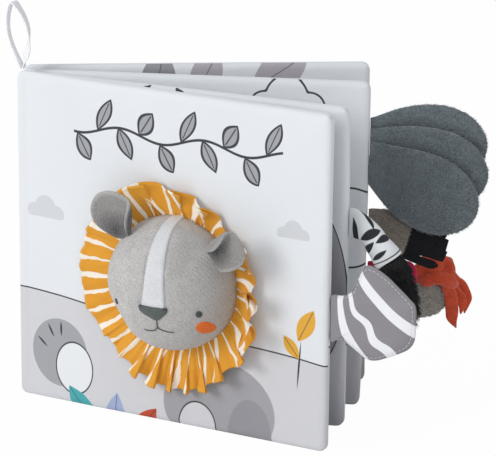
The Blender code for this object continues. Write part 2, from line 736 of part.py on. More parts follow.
def make_taupe_tail(frame, materials):
    limb = (TAUPE_TAIL_PATH, TAUPE_TAIL_HALF_WIDTHS, TAUPE_TAIL_HALF_DEPTHS)
    make_stuffed_limb("taupe_tail", *limb, "plush", materials["taupe_plush"], materials["wadding"], frame)
    end, along = path_end(TAUPE_TAIL_PATH)
    square = Vector((-along.z, 0.0, along.x))
    rings = []
    for side in (-1, 1):
        ring = []
        for along_share, side_share in FELT_OUTLINE_SHARES:
            place = end + along * (SEAM_GAP + along_share * FELT_LENGTH)
            place += square * side_share * FELT_HALF_WIDTH
            ring.append(place + Vector((0.0, side * FELT_THICKNESS / 2, 0.0)))
        rings.append(ring)
    solid_of_rings("taupe_tail_felt_tuft", rings, materials["black_felt"], frame)


def make_greige_tail(frame, materials):
    limb = (GREIGE_TAIL_PATH, GREIGE_TAIL_HALF_WIDTHS, GREIGE_TAIL_HALF_DEPTHS)
    make_stuffed_limb("greige_tail", *limb, "plush", materials["greige_plush"], materials["wadding"], frame)
    knot_up = max(GREIGE_TAIL_HALF_WIDTHS) + SEAM_GAP + KNOT_HALF_WIDTH
    knot_path = [(KNOT_ACROSS + share * KNOT_HALF_LENGTH, knot_up) for share, _ in KNOT_BULGE_SHARES]
    knot_widths = [bulge * KNOT_HALF_WIDTH for _, bulge in KNOT_BULGE_SHARES]
    knot_depths = [bulge * KNOT_HALF_DEPTH for _, bulge in KNOT_BULGE_SHARES]
    knot = limb_rings(knot_path, knot_widths, knot_depths)
    solid_of_rings("rust_knot", knot, materials["rust_fleece"], frame)
    knot_end = KNOT_ACROSS + KNOT_HALF_LENGTH + SEAM_GAP
    for side, (strip_name, path) in zip((-1, 0, 1), STRIP_PATHS.items()):
        strip_path = [(knot_end + across, knot_up + up) for across, up in path]
        widths = [STRIP_HALF_WIDTH] * len(path)
        depths = [STRIP_HALF_DEPTH] * len(path)
        rings = limb_rings(strip_path, widths, depths, upright=1, sides=STRIP_SIDES)
        shifted = [[point + Vector((0.0, side * STRIP_SIDE_STEP, 0.0)) for point in ring] for ring in rings]
        solid_of_rings(f"rust_strip_{strip_name}", shifted, materials["rust_fleece"], frame)


def make_tab(frame, materials):
    path, widths, depths = rooted(TAB_PATH, TAB_HALF_WIDTHS, TAB_HALF_DEPTHS)
    solid_of_rings("crimson_tab", limb_rings(path, widths, depths), materials["crimson_cloth"], frame)


def lobe_spacing(across):
    """Distance between the middles of two neighbouring lobes, at a distance from the seam."""
    share = min(max(across / LOBE_SPREAD_RUN, 0.0), 1.0)
    smooth = share * share * (3 - 2 * share)
    return LOBE_ROOT_SPACING + (LOBE_SPACING - LOBE_ROOT_SPACING) * smooth


def lobe_width(share):
    """Half width along a lobe: it widens from the seam and closes to a round end."""
    if share < LOBE_WIDEST_SHARE:
        part = math.sin(math.pi / 2 * share / LOBE_WIDEST_SHARE)
        return LOBE_ROOT_HALF_WIDTH + (LOBE_HALF_WIDTH - LOBE_ROOT_HALF_WIDTH) * part
    past = (share - LOBE_WIDEST_SHARE) / (1 - LOBE_WIDEST_SHARE)
    return LOBE_HALF_WIDTH * math.sqrt(1 - past**2 * (1 - LOBE_TIP_SHARE**2))


def lobe_rings(layer, root_up, slope, length, inset=0.0):
    """Rings of one lobe. layer is -1 for the front, 0 for the middle and 1 for the back one."""
    lean = math.radians(slope)
    along = Vector((math.cos(lean), 0.0, math.sin(lean)))
    square = Vector((-along.z, 0.0, along.x))
    root_across = -LOBE_SIDE_SETBACK if layer else SEAM_GAP - LOBE_AXIS_SETBACK
    rings = []
    for share in LOBE_STEP_SHARES:
        reach = share * length
        if share == 1.0:
            reach -= inset
        centre = Vector((root_across, 0.0, root_up)) + along * reach
        half_width = lobe_width(share) - inset
        past_widest = max(share - LOBE_WIDEST_SHARE, 0.0)
        tip_rise = math.sqrt(
            1 - (1 - LOBE_TIP_SHARE**2) * past_widest**2 / (1 - LOBE_WIDEST_SHARE) ** 2
        )
        ring = []
        for step in range(LIMB_SIDES):
            turn = 2 * math.pi * step / LIMB_SIDES
            place = centre + square * half_width * math.cos(turn)
            if share == 0.0:
                place.x = root_across + inset
            spacing = lobe_spacing(place.x)
            half_depth = (spacing - LOBE_GAP) / 2 * tip_rise - inset
            place.y = layer * spacing + half_depth * math.sin(turn)
            ring.append(place)
        rings.append(ring)
    return rings


def make_plush_ear(frame, materials):
    for index, name in enumerate(LOBE_NAMES):
        sizes = (index - 1, LOBE_ROOT_HEIGHTS[index], LOBE_SLOPES[index], LOBE_LENGTHS[index])
        rings = lobe_rings(*sizes)
        skin_of_rings(f"slate_ear_{name}_lobe", rings, materials["slate_plush"], frame, LOBE_PLUSH)


def make_flap(frame, materials):
    """Two sheets of cloth with wadding between, sewn along an outline of straight and round runs."""

    def flap_place(across_share, up_share):
        across = across_share * (FLAP_LENGTH + ROOT_RADIUS) - ROOT_RADIUS
        return across, FLAP_FOOT + up_share * FLAP_HEIGHT

    outline = [flap_place(*shares) for shares in FLAP_OUTLINE_SHARES]
    middle = flap_place(*FLAP_CENTRE_SHARES)

    def rings(side, inset):
        made = []
        for share in FLAP_RING_SHARES:
            rise = FLAP_RISE * (1 - share**FLAP_RISE_POWER)
            depth = max(SEAM_HALF + rise - inset, SEAM_HALF)
            slim = share * (1 - 2 * inset / FLAP_LENGTH)
            made.append(
                [
                    (middle[0] + (x - middle[0]) * slim, side * depth, middle[1] + (z - middle[1]) * slim)
                    for x, z in outline
                ]
            )
        return made

    for side, name, material in ((-1, "striped_cloth", "printed_cloth"), (1, "lining", "black_plush")):
        sheet = rings(side, 0.0)[::-1] + rings(side, CLOTH)
        solid_of_rings(f"flap_{name}", sheet, materials[material], frame)
    inset = CLOTH + STUFFING_GAP
    padding = rings(-1, inset)[FLAP_SEAM_RINGS:][::-1] + rings(1, inset)[FLAP_SEAM_RINGS:]
    solid_of_rings("flap_wadding", padding, materials["wadding"], frame)


def make_materials():
    return {
        "cover_cloth": make_material("cover cloth", (0.8, 0.81, 0.83), 0.85),
        "printed_cloth": make_material("printed cloth", (0.6, 0.59, 0.61), 0.85),
        "film": make_material("crinkle film", (0.85, 0.86, 0.88), 0.3),
        "wadding": make_material("wadding", (0.9, 0.9, 0.88), 0.95),
        "head_plush": make_material("head plush", (0.48, 0.48, 0.49), 0.95),
        "pale_plush": make_material("pale plush", (0.68, 0.69, 0.7), 0.95),
        "nose_plush": make_material("nose plush", (0.11, 0.13, 0.12), 0.9),
        "black_thread": make_material("black thread", (0.02, 0.02, 0.02), 0.6),
        "orange_thread": make_material("orange thread", (0.78, 0.16, 0.03), 0.7),
        "mane_cotton": make_material("mane cotton", (0.78, 0.39, 0.05), 0.85),
        "slate_plush": make_material("slate plush", (0.1, 0.13, 0.14), 0.95),
        "black_plush": make_material("black plush", (0.01, 0.01, 0.012), 0.95),
        "black_felt": make_material("black felt", (0.008, 0.008, 0.01), 0.95),
        "taupe_plush": make_material("taupe plush", (0.22, 0.18, 0.15), 0.95),
        "greige_plush": make_material("greige plush", (0.3, 0.28, 0.25), 0.95),
        "rust_fleece": make_material("rust fleece", (0.58, 0.08, 0.03), 0.95),
        "crimson_cloth": make_material("crimson cloth", (0.5, 0.02, 0.08), 0.85),
        "ribbon": make_material("ribbon", (0.75, 0.76, 0.77), 0.7),
    }


def foot_flat_middle():
    """Distance from a cover's middle to the middle of the flat that its front cloth stands on."""
    height = COVER_HEIGHT + FOOT_CUT
    return (SEAM_HALF + board_half_thickness(BOARD_WIDTH / 2, FOOT_CUT, height)) / 2


def main():
    clear_scene()
    materials = make_materials()
    origin = Vector((BOARD_ROOT + BOARD_WIDTH / 2, BOARD_MIDDLE - foot_flat_middle(), 0.0))
    root = make_empty("book", None, -origin)
    frames = {}
    parent, place = root, (0.0, 0.0, 0.0)
    for name, angle in zip(BOARD_NAMES, REST_ANGLES):
        frames[name] = make_empty(f"{name}_hinge", parent, place, -angle)
        make_board(name, frames[name], materials)
        parent, place = frames[name], (0.0, -ROOT_PITCH, 0.0)

    front = frames["front_cover"]
    loop_up = COVER_HEIGHT + SEAM_GAP + LOOP_ROOT_RADIUS
    loop_place = (BOARD_ROOT + LOOP_ROOT_RADIUS, BOARD_MIDDLE, loop_up)
    make_loop(make_empty("hanging_loop_fold", front, loop_place), materials["ribbon"])
    make_head(front, materials)
    make_face(front, materials)
    make_mane(front, materials["mane_cotton"])
    for side, direction in LION_EAR_DIRECTIONS.items():
        make_lion_ear(side, direction, front, materials["head_plush"])

    seam = (LIMB_AXIS, BOARD_MIDDLE)
    make_flap(make_empty("flap_seam", front, (*seam, 0.0)), materials)
    white = make_empty("white_tail_seam", frames["leaf_1"], (*seam, WHITE_TAIL_ROOT))
    make_white_tail(white, materials)
    taupe = make_empty("taupe_tail_seam", frames["leaf_2"], (*seam, TAUPE_TAIL_ROOT))
    make_taupe_tail(taupe, materials)
    make_tab(make_empty("crimson_tab_seam", frames["leaf_2"], (*seam, TAB_ROOT)), materials)
    make_plush_ear(make_empty("slate_ear_seam", frames["leaf_2"], (LOBE_AXIS, BOARD_MIDDLE, 0.0)), materials)
    greige = make_empty("greige_tail_seam", frames["back_cover"], (*seam, GREIGE_TAIL_ROOT))
    make_greige_tail(greige, materials)


main()
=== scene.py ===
import json
import math

import bmesh
import bpy
import numpy as np
from mathutils import Matrix, Vector, noise


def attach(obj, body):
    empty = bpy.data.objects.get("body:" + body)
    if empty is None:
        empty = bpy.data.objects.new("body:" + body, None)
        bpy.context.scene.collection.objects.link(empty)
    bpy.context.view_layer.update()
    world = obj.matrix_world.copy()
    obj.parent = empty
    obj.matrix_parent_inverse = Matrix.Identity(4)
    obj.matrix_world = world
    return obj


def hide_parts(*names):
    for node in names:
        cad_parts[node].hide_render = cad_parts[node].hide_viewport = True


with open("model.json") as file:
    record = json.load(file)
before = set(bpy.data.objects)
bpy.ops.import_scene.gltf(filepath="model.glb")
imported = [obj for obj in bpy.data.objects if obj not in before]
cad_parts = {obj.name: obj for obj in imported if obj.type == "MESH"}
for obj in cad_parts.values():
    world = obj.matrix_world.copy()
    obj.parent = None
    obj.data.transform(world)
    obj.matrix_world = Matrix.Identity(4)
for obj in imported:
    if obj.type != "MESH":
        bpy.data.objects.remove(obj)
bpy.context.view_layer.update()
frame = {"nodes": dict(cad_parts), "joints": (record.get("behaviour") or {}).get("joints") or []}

# Padded boards
# Each board is two printed cloth panels sewn together along three edges and turned, filled with
# wadding and a crackling film, topstitched beside its rim and sewn at its root to the spine.
MM = 0.001
BOARD_ANGLES = {"back_cover": 0.0, "leaf_2": 10.9, "leaf_1": 13.8, "front_cover": 6.3}
BOARD_BODIES = {"back_cover": "book", "leaf_2": "leaf_2", "leaf_1": "leaf_1", "front_cover": "front_cover"}
ROOT_PITCH = 4.0
BOARD_MIDDLE = -ROOT_PITCH / 2
BOARD_ROOT = 1.85
BOARD_WIDTH = 200.0
COVER_HEIGHT = 198.0
LEAF_INSET = 1.5
FOOT_CUT = 0.5
CORNER_RADIUS = 5.0
HEM_HALF = 1.5
BOARD_HALF = 3.5
BOARD_CROWN = 0.4
TAPER_RUN = 70.0
EDGE_RUN = 5.0
FORE_EDGE = BOARD_ROOT + BOARD_WIDTH
SPINE_EDGE = 0.06
SPINE_HALF = 1.87
SPINE_RUN = 1.5
SPINE_CORNER = 4.5
BAND_WIDTH = 6.5
BAND_DEPTH = 0.25
BAND_SOFTNESS = 0.9
SEAM_HALF = 0.15
SEAM_VALLEY = 0.6
SEAM_SOFTNESS = 0.5
PUCKER = 0.42
PUCKER_SIZE = 5.0
PUCKER_FADING = 9.0
WRINKLE = 0.42
WRINKLE_SIZE = 24.0
RIM_STATIONS = (0.0, 0.02, 0.06, 0.14, 0.28, 0.5, 0.85, 1.3, 1.9, 2.7, 3.7, 5.0, 6.5, 8.0, 10.0, 12.0)
BOARD_BENDS = {
    "back_cover": (0.0, 0.0, 0.6, -1.0, 0.0),
    "leaf_2": (3.0, -4.0, 1.0, 2.2, 0.0),
    "leaf_1": (-3.4, 3.6, -0.8, 1.7, 3.6),
    "front_cover": (0.6, 0.0, 0.7, 0.0, 0.0),
}

joint_places = {joint["name"]: Vector(joint["pos_m"]) for joint in frame["joints"]}
board_frames = {}
turn = 0.0
for board, angle in BOARD_ANGLES.items():
    turn -= math.radians(angle)
    if board == "back_cover":
        hinge = joint_places["leaf_2_hinge"] + Vector((0.0, ROOT_PITCH * MM, 0.0))
    else:
        hinge = joint_places[f"{board}_hinge"]
    board_frames[board] = Matrix.Translation(hinge) @ Matrix.Rotation(turn, 4, "Z")


def put(name, data):
    """A new object of the scene, at the origin."""
    placed = bpy.data.objects.new(name, data)
    bpy.context.scene.collection.objects.link(placed)
    return placed


def sew(name, patches, cloths, board, weld=0.02):
    """Sews grids of points into one closed mesh in a board's frame. A patch holds its points, their
    places on the flat cloth and the number of its cloth."""
    corners = np.concatenate([points.reshape(-1, 3) for points, _, _ in patches])
    flat = np.concatenate([places.reshape(-1, 2) for _, places, _ in patches])
    quads, slots, start = [], [], 0
    for points, _, slot in patches:
        rows, columns = points.shape[:2]
        index = start + np.arange(rows * columns).reshape(rows, columns)
        ring = (index[:-1, :-1], index[1:, :-1], index[1:, 1:], index[:-1, 1:])
        quads.append(np.stack(ring, axis=-1).reshape(-1, 4))
        slots += [slot] * len(quads[-1])
        start += rows * columns
    quads = np.concatenate(quads)
    mesh = bpy.data.meshes.new(name)
    mesh.from_pydata((corners * MM).tolist(), [], quads.tolist())
    mesh.uv_layers.new(name="cloth")
    mesh.uv_layers["cloth"].uv.foreach_set("vector", flat[quads.ravel()].ravel())
    mesh.polygons.foreach_set("material_index", slots)
    for cloth in cloths:
        mesh.materials.append(cloth)
    mesh.transform(board_frames[board])
    work = bmesh.new()
    work.from_mesh(mesh)
    bmesh.ops.remove_doubles(work, verts=work.verts, dist=weld * MM)
    bmesh.ops.recalc_face_normals(work, faces=work.faces)
    if work.calc_volume(signed=True) < 0:
        bmesh.ops.reverse_faces(work, faces=work.faces)
    work.to_mesh(mesh)
    work.free()
    mesh.shade_smooth()
    return put(name, mesh)


def rumple(points, size, seed):
    """Smooth noise from -1 to 1 over an array of points, with lumps of this size."""
    shift = Vector((seed * 7.3, seed * 3.1, seed * 5.7))
    lumps = [noise.noise(Vector(point) / size + shift) for point in points.reshape(-1, 3)]
    return np.array(lumps).reshape(points.shape[:-1])


def shade(red, green, blue):
    """A colour as a photograph shows it, from 0 to 255, turned to the light it reflects."""
    return tuple(((part / 255 + 0.055) / 1.055) ** 2.4 for part in (red, green, blue)) + (1.0,)


class Sum:
    """A value inside a material, which takes part in sums as a number does."""

    def __init__(self, dye, socket):
        self.dye = dye
        self.socket = socket

    def math(self, operation, *values, **settings):
        return self.dye.node("ShaderNodeMath", (self, *values), operation=operation, **settings)

    def __add__(self, other):
        return self.math("ADD", other)

    __radd__ = __add__

    def __sub__(self, other):
        return self.math("SUBTRACT", other)

    def __rsub__(self, other):
        return self.dye.node("ShaderNodeMath", (other, self), operation="SUBTRACT")

    def __mul__(self, other):
        return self.math("MULTIPLY", other)

    __rmul__ = __mul__

    def __truediv__(self, other):
        return self.math("DIVIDE", other)

    def __pow__(self, other):
        return self.math("POWER", other)

    def __abs__(self):
        return self.math("ABSOLUTE")

    def scaled(self, factor, added):
        return self.math("MULTIPLY_ADD", factor, added)

    def below(self, edge, soft=0.3):
        """1 where the value is under an edge and 0 past it, with a soft border."""
        return self.math("MULTIPLY_ADD", -1 / soft, edge / soft + 0.5, use_clamp=True)


class Dye:
    """A material: a Principled shader, and the nodes that feed its colour, roughness and relief."""

    def __init__(self, name, roughness, sheen=0.0):
        self.material = bpy.data.materials.new(name)
        self.material.use_nodes = True
        self.tree = self.material.node_tree
        self.shader = self.tree.nodes["Principled BSDF"]
        self.shader.inputs["Roughness"].default_value = roughness
        self.shader.inputs["Specular IOR Level"].default_value = 0.25
        self.shader.inputs["Sheen Weight"].default_value = sheen
        self.shader.inputs["Sheen Roughness"].default_value = 0.5

    def node(self, kind, values=(), output=0, **settings):
        """Adds a node. Its settings come first, then the values or links of its sockets."""
        made = self.tree.nodes.new(kind)
        for key, value in settings.items():
            setattr(made, key, value)
        for key, value in values.items() if isinstance(values, dict) else enumerate(values):
            if isinstance(value, Sum):
                self.tree.links.new(value.socket, made.inputs[key])
            else:
                made.inputs[key].default_value = value
        return Sum(self, made.outputs[output])

    def parts(self, vector):
        split = self.node("ShaderNodeSeparateXYZ", (vector,)).socket.node
        return [Sum(self, socket) for socket in split.outputs]

    def flat_cloth(self):
        return self.node("ShaderNodeUVMap", uv_map="cloth")

    def lumps(self, size, detail=2.0):
        """Noise from 0 to 1 through the piece, with lumps of this size in millimetres."""
        place = self.node("ShaderNodeTexCoord", output=3)
        return self.node("ShaderNodeTexNoise", {0: place, 2: 1 / (size * MM), 3: detail})

    def mix(self, mask, under, over):
        return self.node("ShaderNodeMix", {0: mask, 6: under, 7: over}, output=2, data_type="RGBA")

    def finish(self, colour, relief, depth):
        """Links a colour, and a relief of this depth in millimetres, to the shader."""
        self.tree.links.new(colour.socket, self.shader.inputs["Base Color"])
        bump = self.node("ShaderNodeBump", {"Strength": 1.0, "Distance": depth * MM, "Height": relief})
        self.tree.links.new(bump.socket, self.shader.inputs["Normal"])
        return self.material


def plain_cloth(name, roughness, sheen, blotch, colour, other, grain, depth):
    """A cloth with blotches of two colours and a grain in relief. All its sizes are in millimetres."""
    dye = Dye(name, roughness, sheen)
    return dye.finish(dye.mix(dye.lumps(blotch), colour, other), dye.lumps(grain), depth)


def leaf_shape(place, across, up, slope, half_length, half_width):
    """Under 0 inside a pointed leaf that lies at this slope, in degrees. Also gives its two axes."""
    x, z = place
    lean = math.radians(slope)
    cosine, sine = math.cos(lean), math.sin(lean)
    along = x.scaled(cosine, z.scaled(sine, -across * cosine - up * sine))
    aside = x.scaled(-sine, z.scaled(cosine, across * sine - up * cosine))
    curve = half_width / half_length**2
    return abs(aside) + (along * along).scaled(curve, -half_width), along, aside


def cloud_shape(dye, spot, across, up, size):
    """Under 0 inside a cloud of three round lobes with a level foot."""
    lobes = ((-0.75, 0.3, 0.5), (0.0, 0.62, 0.72), (0.78, 0.28, 0.52))
    shape = None
    for lobe_across, lobe_up, radius in lobes:
        middle = (across + lobe_across * size, up + lobe_up * size, 0.0)
        distance = dye.node("ShaderNodeVectorMath", (spot, middle), output=1, operation="DISTANCE")
        lobe = distance - radius * size
        shape = lobe if shape is None else shape.math("SMOOTH_MIN", lobe, 0.12 * size)
    foot = dye.parts(spot)[1].scaled(-1.0, up)
    return shape.math("SMOOTH_MAX", foot, 0.15 * size)


CLOTH_WHITE = shade(225, 228, 231)
GROUND_GREY = shade(205, 205, 209)
INK = shade(66, 68, 74)
PALE_GREY = shade(205, 207, 211)
LEAF_GREY = shade(160, 161, 166)
STONE_GREY = shade(160, 159, 164)
DUSK_GREY = shade(146, 146, 152)
MAUVE_GREY = shade(172, 166, 174)
PALE_BLUE = shade(158, 172, 204)
TEAL = shade(76, 166, 171)
RUST = shade(187, 78, 52)
MUSTARD = shade(222, 168, 66)


GARLAND_UP = 170.0
GARLAND_MIDDLE = 104.0
GARLAND_HALF = 67.0
GARLAND_SWAY = 3.0
GARLAND_WAVE = 54.0
GARLAND_START = 37.0
GARLAND_PITCH = 13.5
GARLAND_LEAF_OFFSET = 8.5
GREY_AND_SHADE_RUN = 60.0


def printed_cloth(name, motifs, hill=None, garland=False, grey_and_shade=0.0):
    """White cloth with a printed scene of plain leaves, stones and clouds over a hill. A motif is
    its kind, its place across and up, its slope or size, its half sizes, and its colour."""
    dye = Dye(name, 0.88, 0.05)
    spot = dye.flat_cloth()
    x, z, _ = dye.parts(spot)
    colour = dye.mix(dye.lumps(60.0), CLOTH_WHITE, shade(219, 222, 227))
    if hill:
        foot, rise, wave, run, ground = hill
        swell = x.scaled(1 / run, 0.7).math("SINE")
        over = z - swell.scaled(wave, x.scaled(rise, foot))
        colour = dye.mix(over.below(0.0), colour, ground)
        colour = dye.mix(abs(over).below(0.45), colour, INK)
        # Towards its foot and fore edge an inner page turns grey: partly its printed ground, and partly
        # painted shade between the pages.
        if grey_and_shade:
            deep = z.scaled(-1 / GREY_AND_SHADE_RUN, 1.0).math("MAXIMUM", 0.0) * x.scaled(1 / GREY_AND_SHADE_RUN, -2.0)
            colour = dye.mix(deep.math("MULTIPLY", grey_and_shade, use_clamp=True), colour, DUSK_GREY)
    if garland:
        stem = z - (x * (2 * math.pi / GARLAND_WAVE)).math("SINE").scaled(GARLAND_SWAY, GARLAND_UP)
        within = abs(x - GARLAND_MIDDLE).below(GARLAND_HALF)
        colour = dye.mix(abs(stem).below(0.8) * within, colour, INK)
        step = x.scaled(1 / GARLAND_PITCH, -GARLAND_START / GARLAND_PITCH)
        odd = step.math("FLOOR").math("MODULO", 2.0)
        aside = step.math("FRACT").scaled(GARLAND_PITCH, -GARLAND_PITCH / 2)
        side = odd.scaled(2.0, -1.0)
        spread = (aside, stem * side - GARLAND_LEAF_OFFSET)
        shape, _, vein = leaf_shape(spread, 0.0, 0.0, 62.0, 9.0, 4.4)
        colour = dye.mix(shape.below(0.0) * within, colour, LEAF_GREY)
        colour = dye.mix(abs(shape + 0.2).below(0.75) * within, colour, INK)
        colour = dye.mix(abs(vein).below(0.35) * shape.below(-1.6) * within, colour, INK)
    for kind, across, up, slope, half_length, half_width, fill, outline in motifs:
        if kind == "cloud":
            shape = cloud_shape(dye, spot, across, up, half_length)
        elif kind == "stone":
            squash = (x.scaled(1 / half_length, -across / half_length) ** 2.0) + (
                z.scaled(1 / half_width, -up / half_width) ** 2.0
            )
            shape = (squash.math("SQRT") - 1.0) * half_width
        else:
            shape, along, vein = leaf_shape((x, z), across, up, slope, half_length, half_width)
        if fill:
            colour = dye.mix(shape.below(0.0), colour, fill)
        if outline:
            colour = dye.mix(abs(shape).below(outline), colour, INK)
        if kind == "leaf":
            rib = abs(vein).below(0.3) * shape.below(-0.9)
            colour = dye.mix(rib * 0.7, colour, INK)
    thread = dye.lumps(0.55, 1.0) * 0.6 + dye.lumps(7.0) * 0.8
    return dye.finish(colour, thread, 0.18)


cover_print = printed_cloth(
    "cover front print",
    (
        ("cloud", 17.0, 112.0, 0.0, 10.0, 0.0, PALE_GREY, None),
        ("cloud", 178.0, 124.0, 0.0, 8.0, 0.0, PALE_GREY, None),
        ("stone", 26.0, 30.0, 0.0, 19.0, 21.0, LEAF_GREY, None),
        ("stone", 36.0, 22.0, 0.0, 12.5, 16.0, CLOTH_WHITE, 0.5),
        ("leaf", 20.0, 43.0, 118.0, 4.5, 0.7, INK, None),
        ("leaf", 27.0, 45.0, 92.0, 4.5, 0.7, INK, None),
        ("leaf", 14.0, 35.0, 140.0, 4.5, 0.7, INK, None),
        ("leaf", 42.0, -2.0, 128.0, 16.0, 6.5, TEAL, None),
        ("leaf", 63.0, -6.0, 84.0, 18.0, 7.0, PALE_BLUE, None),
        ("leaf", 82.0, -5.0, 52.0, 15.0, 6.0, RUST, None),
        ("stone", 132.0, 14.0, 0.0, 36.0, 30.0, STONE_GREY, None),
        ("stone", 118.0, 1.0, 0.0, 12.0, 15.0, GROUND_GREY, 0.5),
        ("stone", 152.0, 1.0, 0.0, 14.0, 22.0, DUSK_GREY, None),
        ("leaf", 183.0, 50.0, 86.0, 15.0, 0.6, INK, None),
        ("leaf", 187.0, 74.0, 64.0, 11.0, 5.2, MUSTARD, None),
        ("leaf", 178.0, 60.0, 128.0, 8.0, 3.6, MUSTARD, None),
    ),
    hill=(66.0, -0.075, 1.6, 24.0, GROUND_GREY),
    garland=True,
)
PAGE_LEAVES = (
    ("leaf", 40.0, 150.0, 40.0, 15.0, 6.0, TEAL, None),
    ("leaf", 78.0, 118.0, 110.0, 13.0, 5.0, RUST, None),
    ("leaf", 120.0, 160.0, 70.0, 14.0, 5.5, PALE_BLUE, None),
    ("leaf", 150.0, 95.0, 150.0, 13.0, 5.0, MUSTARD, None),
    ("leaf", 50.0, 82.0, 170.0, 12.0, 4.6, LEAF_GREY, None),
)
page_prints = {
    "front_cover_front": cover_print,
    "front_cover_rear": printed_cloth("cover rear print", PAGE_LEAVES, (48.0, 0.06, 3.0, 26.0, GROUND_GREY)),
    "leaf_1_front": printed_cloth(
        "leaf 1 front print",
        (
            ("cloud", 88.0, 186.0, 0.0, 12.0, 0.0, None, 0.6),
            ("cloud", 60.0, 130.0, 0.0, 16.0, 0.0, PALE_GREY, None),
            ("stone", 176.0, 88.0, 0.0, 24.0, 52.0, STONE_GREY, 0.6),
        ),
        hill=(93.0, -0.12, 2.4, 30.0, GROUND_GREY),
        grey_and_shade=0.75,
    ),
    "leaf_1_rear": printed_cloth("leaf 1 rear print", PAGE_LEAVES[1:], (60.0, -0.05, 4.0, 30.0, GROUND_GREY)),
    "leaf_2_front": printed_cloth(
        "leaf 2 front print",
        (
            ("cloud", 152.0, 176.0, 0.0, 17.0, 0.0, None, 0.6),
            ("cloud", 70.0, 160.0, 0.0, 14.0, 0.0, PALE_GREY, None),
            ("stone", 190.0, 110.0, 0.0, 22.0, 24.0, None, 0.6),
        ),
        hill=(76.0, -0.04, 3.0, 34.0, GROUND_GREY),
        grey_and_shade=0.6,
    ),
    "leaf_2_rear": printed_cloth("leaf 2 rear print", PAGE_LEAVES[:4], (52.0, 0.08, 3.0, 28.0, GROUND_GREY)),
    "back_cover_front": printed_cloth(
        "back inner print",
        (
            ("leaf", 76.0, 190.0, 78.0, 16.0, 10.0, DUSK_GREY, None),
            ("leaf", 104.0, 192.0, 60.0, 15.0, 9.0, MAUVE_GREY, None),
            ("leaf", 147.0, 193.0, 32.0, 20.0, 11.0, MAUVE_GREY, None),
            ("leaf", 40.0, 150.0, 120.0, 15.0, 7.0, PALE_BLUE, None),
        ),
        hill=(76.0, 0.04, 3.0, 30.0, GROUND_GREY),
        grey_and_shade=0.7,
    ),
    "back_cover_rear": printed_cloth(
        "back cover print",
        (
            *PAGE_LEAVES,
            ("cloud", 150.0, 140.0, 0.0, 13.0, 0.0, PALE_GREY, None),
            ("leaf", 60.0, -4.0, 70.0, 17.0, 7.0, TEAL, None),
            ("leaf", 84.0, -6.0, 104.0, 17.0, 7.0, RUST, None),
        ),
        hill=(58.0, -0.04, 3.0, 30.0, GROUND_GREY),
    ),
}


def swell_from(distance, run, power=2.6):
    """0 at a seam and 1 from the stated run inwards: the side of a padded piece."""
    left = 1 - np.clip(distance / run, 0.0, 1.0)
    return (1 - left**power) ** (1 / power)


def board_height(board):
    return COVER_HEIGHT - (2 * LEAF_INSET if "leaf" in board else 0.0) + FOOT_CUT


def edge_distance(across, up, height):
    """How far a place on a board lies from its nearest sewn edge."""
    return np.minimum(np.minimum(FORE_EDGE - across, up), height - up)


def lifted_on(board, up):
    """The height over the table of a place this far up a board, whose foot is pressed flat."""
    return np.maximum(up - FOOT_CUT, 0.0) + (LEAF_INSET if "leaf" in board else 0.0)


def board_middle(board, across, up):
    """Depth of a board's middle, which bows a little and leans at its outer corners."""
    share_across, share_up = across / FORE_EDGE, np.clip(up / COVER_HEIGHT, 0.0, 1.0)
    top_lean, foot_lean, bow = BOARD_BENDS[board][:3]
    lean = top_lean * share_up**5 + foot_lean * (1 - share_up) ** 3
    return BOARD_MIDDLE + lean * share_across**3 + bow * np.sin(math.pi * share_across) * share_across


def pulled_corner(board, across, lifted):
    """Draws in and lifts the lower outer corner of a board, where its cloth has shrunk on its seams."""
    draw, rise = BOARD_BENDS[board][3:]
    share = (across / FORE_EDGE) ** 3 * np.clip(1 - lifted / COVER_HEIGHT, 0.0, 1.0) ** 3
    return across - draw * share, lifted + rise * share


def board_half(across, up, height):
    """Half of a board's thickness, from the folded spine across a flat band to the padding."""
    share = np.clip((across - BOARD_ROOT) / TAPER_RUN, 0.0, 1.0)
    crown = BOARD_CROWN * np.sin(math.pi * across / FORE_EDGE) * np.sin(math.pi * up / height)
    full = np.maximum(HEM_HALF + (BOARD_HALF - HEM_HALF) * (1 - (1 - share) ** 2) + crown, SPINE_HALF)
    edge = edge_distance(across, up, height)
    rise = swell_from(edge, EDGE_RUN) * swell_from(across - SPINE_EDGE, SPINE_RUN)
    band = BAND_DEPTH * np.exp(-(((across - BAND_WIDTH) / BAND_SOFTNESS) ** 2))
    band = band * np.clip(edge / EDGE_RUN, 0.0, 1.0)
    return SEAM_HALF + (full - SEAM_HALF) * rise - band


def board_plan(across, up, height):
    """Rounds a board's corners: those of the fore edge, and less those of the spine."""
    for side_x, radius in ((1, CORNER_RADIUS), (-1, SPINE_CORNER)):
        limit = FORE_EDGE if side_x > 0 else SPINE_EDGE
        past_across = np.maximum(side_x * (across - limit) + radius, 0.0)
        past_up = np.maximum(np.abs(up - height / 2) - (height / 2 - radius), 0.0)
        corner = (past_across > 0) & (past_up > 0)
        round_across = past_across * np.sqrt(1 - (np.minimum(past_up, radius) / radius) ** 2 / 2)
        round_up = past_up * np.sqrt(1 - (np.minimum(past_across, radius) / radius) ** 2 / 2)
        up = np.where(corner, up + np.sign(up - height / 2) * (round_up - past_up), up)
        across = np.where(corner, across + side_x * (round_across - past_across), across)
    return across, up


def fine_stations(start, end, middle_steps):
    """Places across a board that lie close together near its edges."""
    rim = np.array(RIM_STATIONS)
    middle = np.linspace(start + rim[-1], end - rim[-1], middle_steps)
    return np.concatenate([start + rim[:-1], middle, end - rim[-2::-1]])


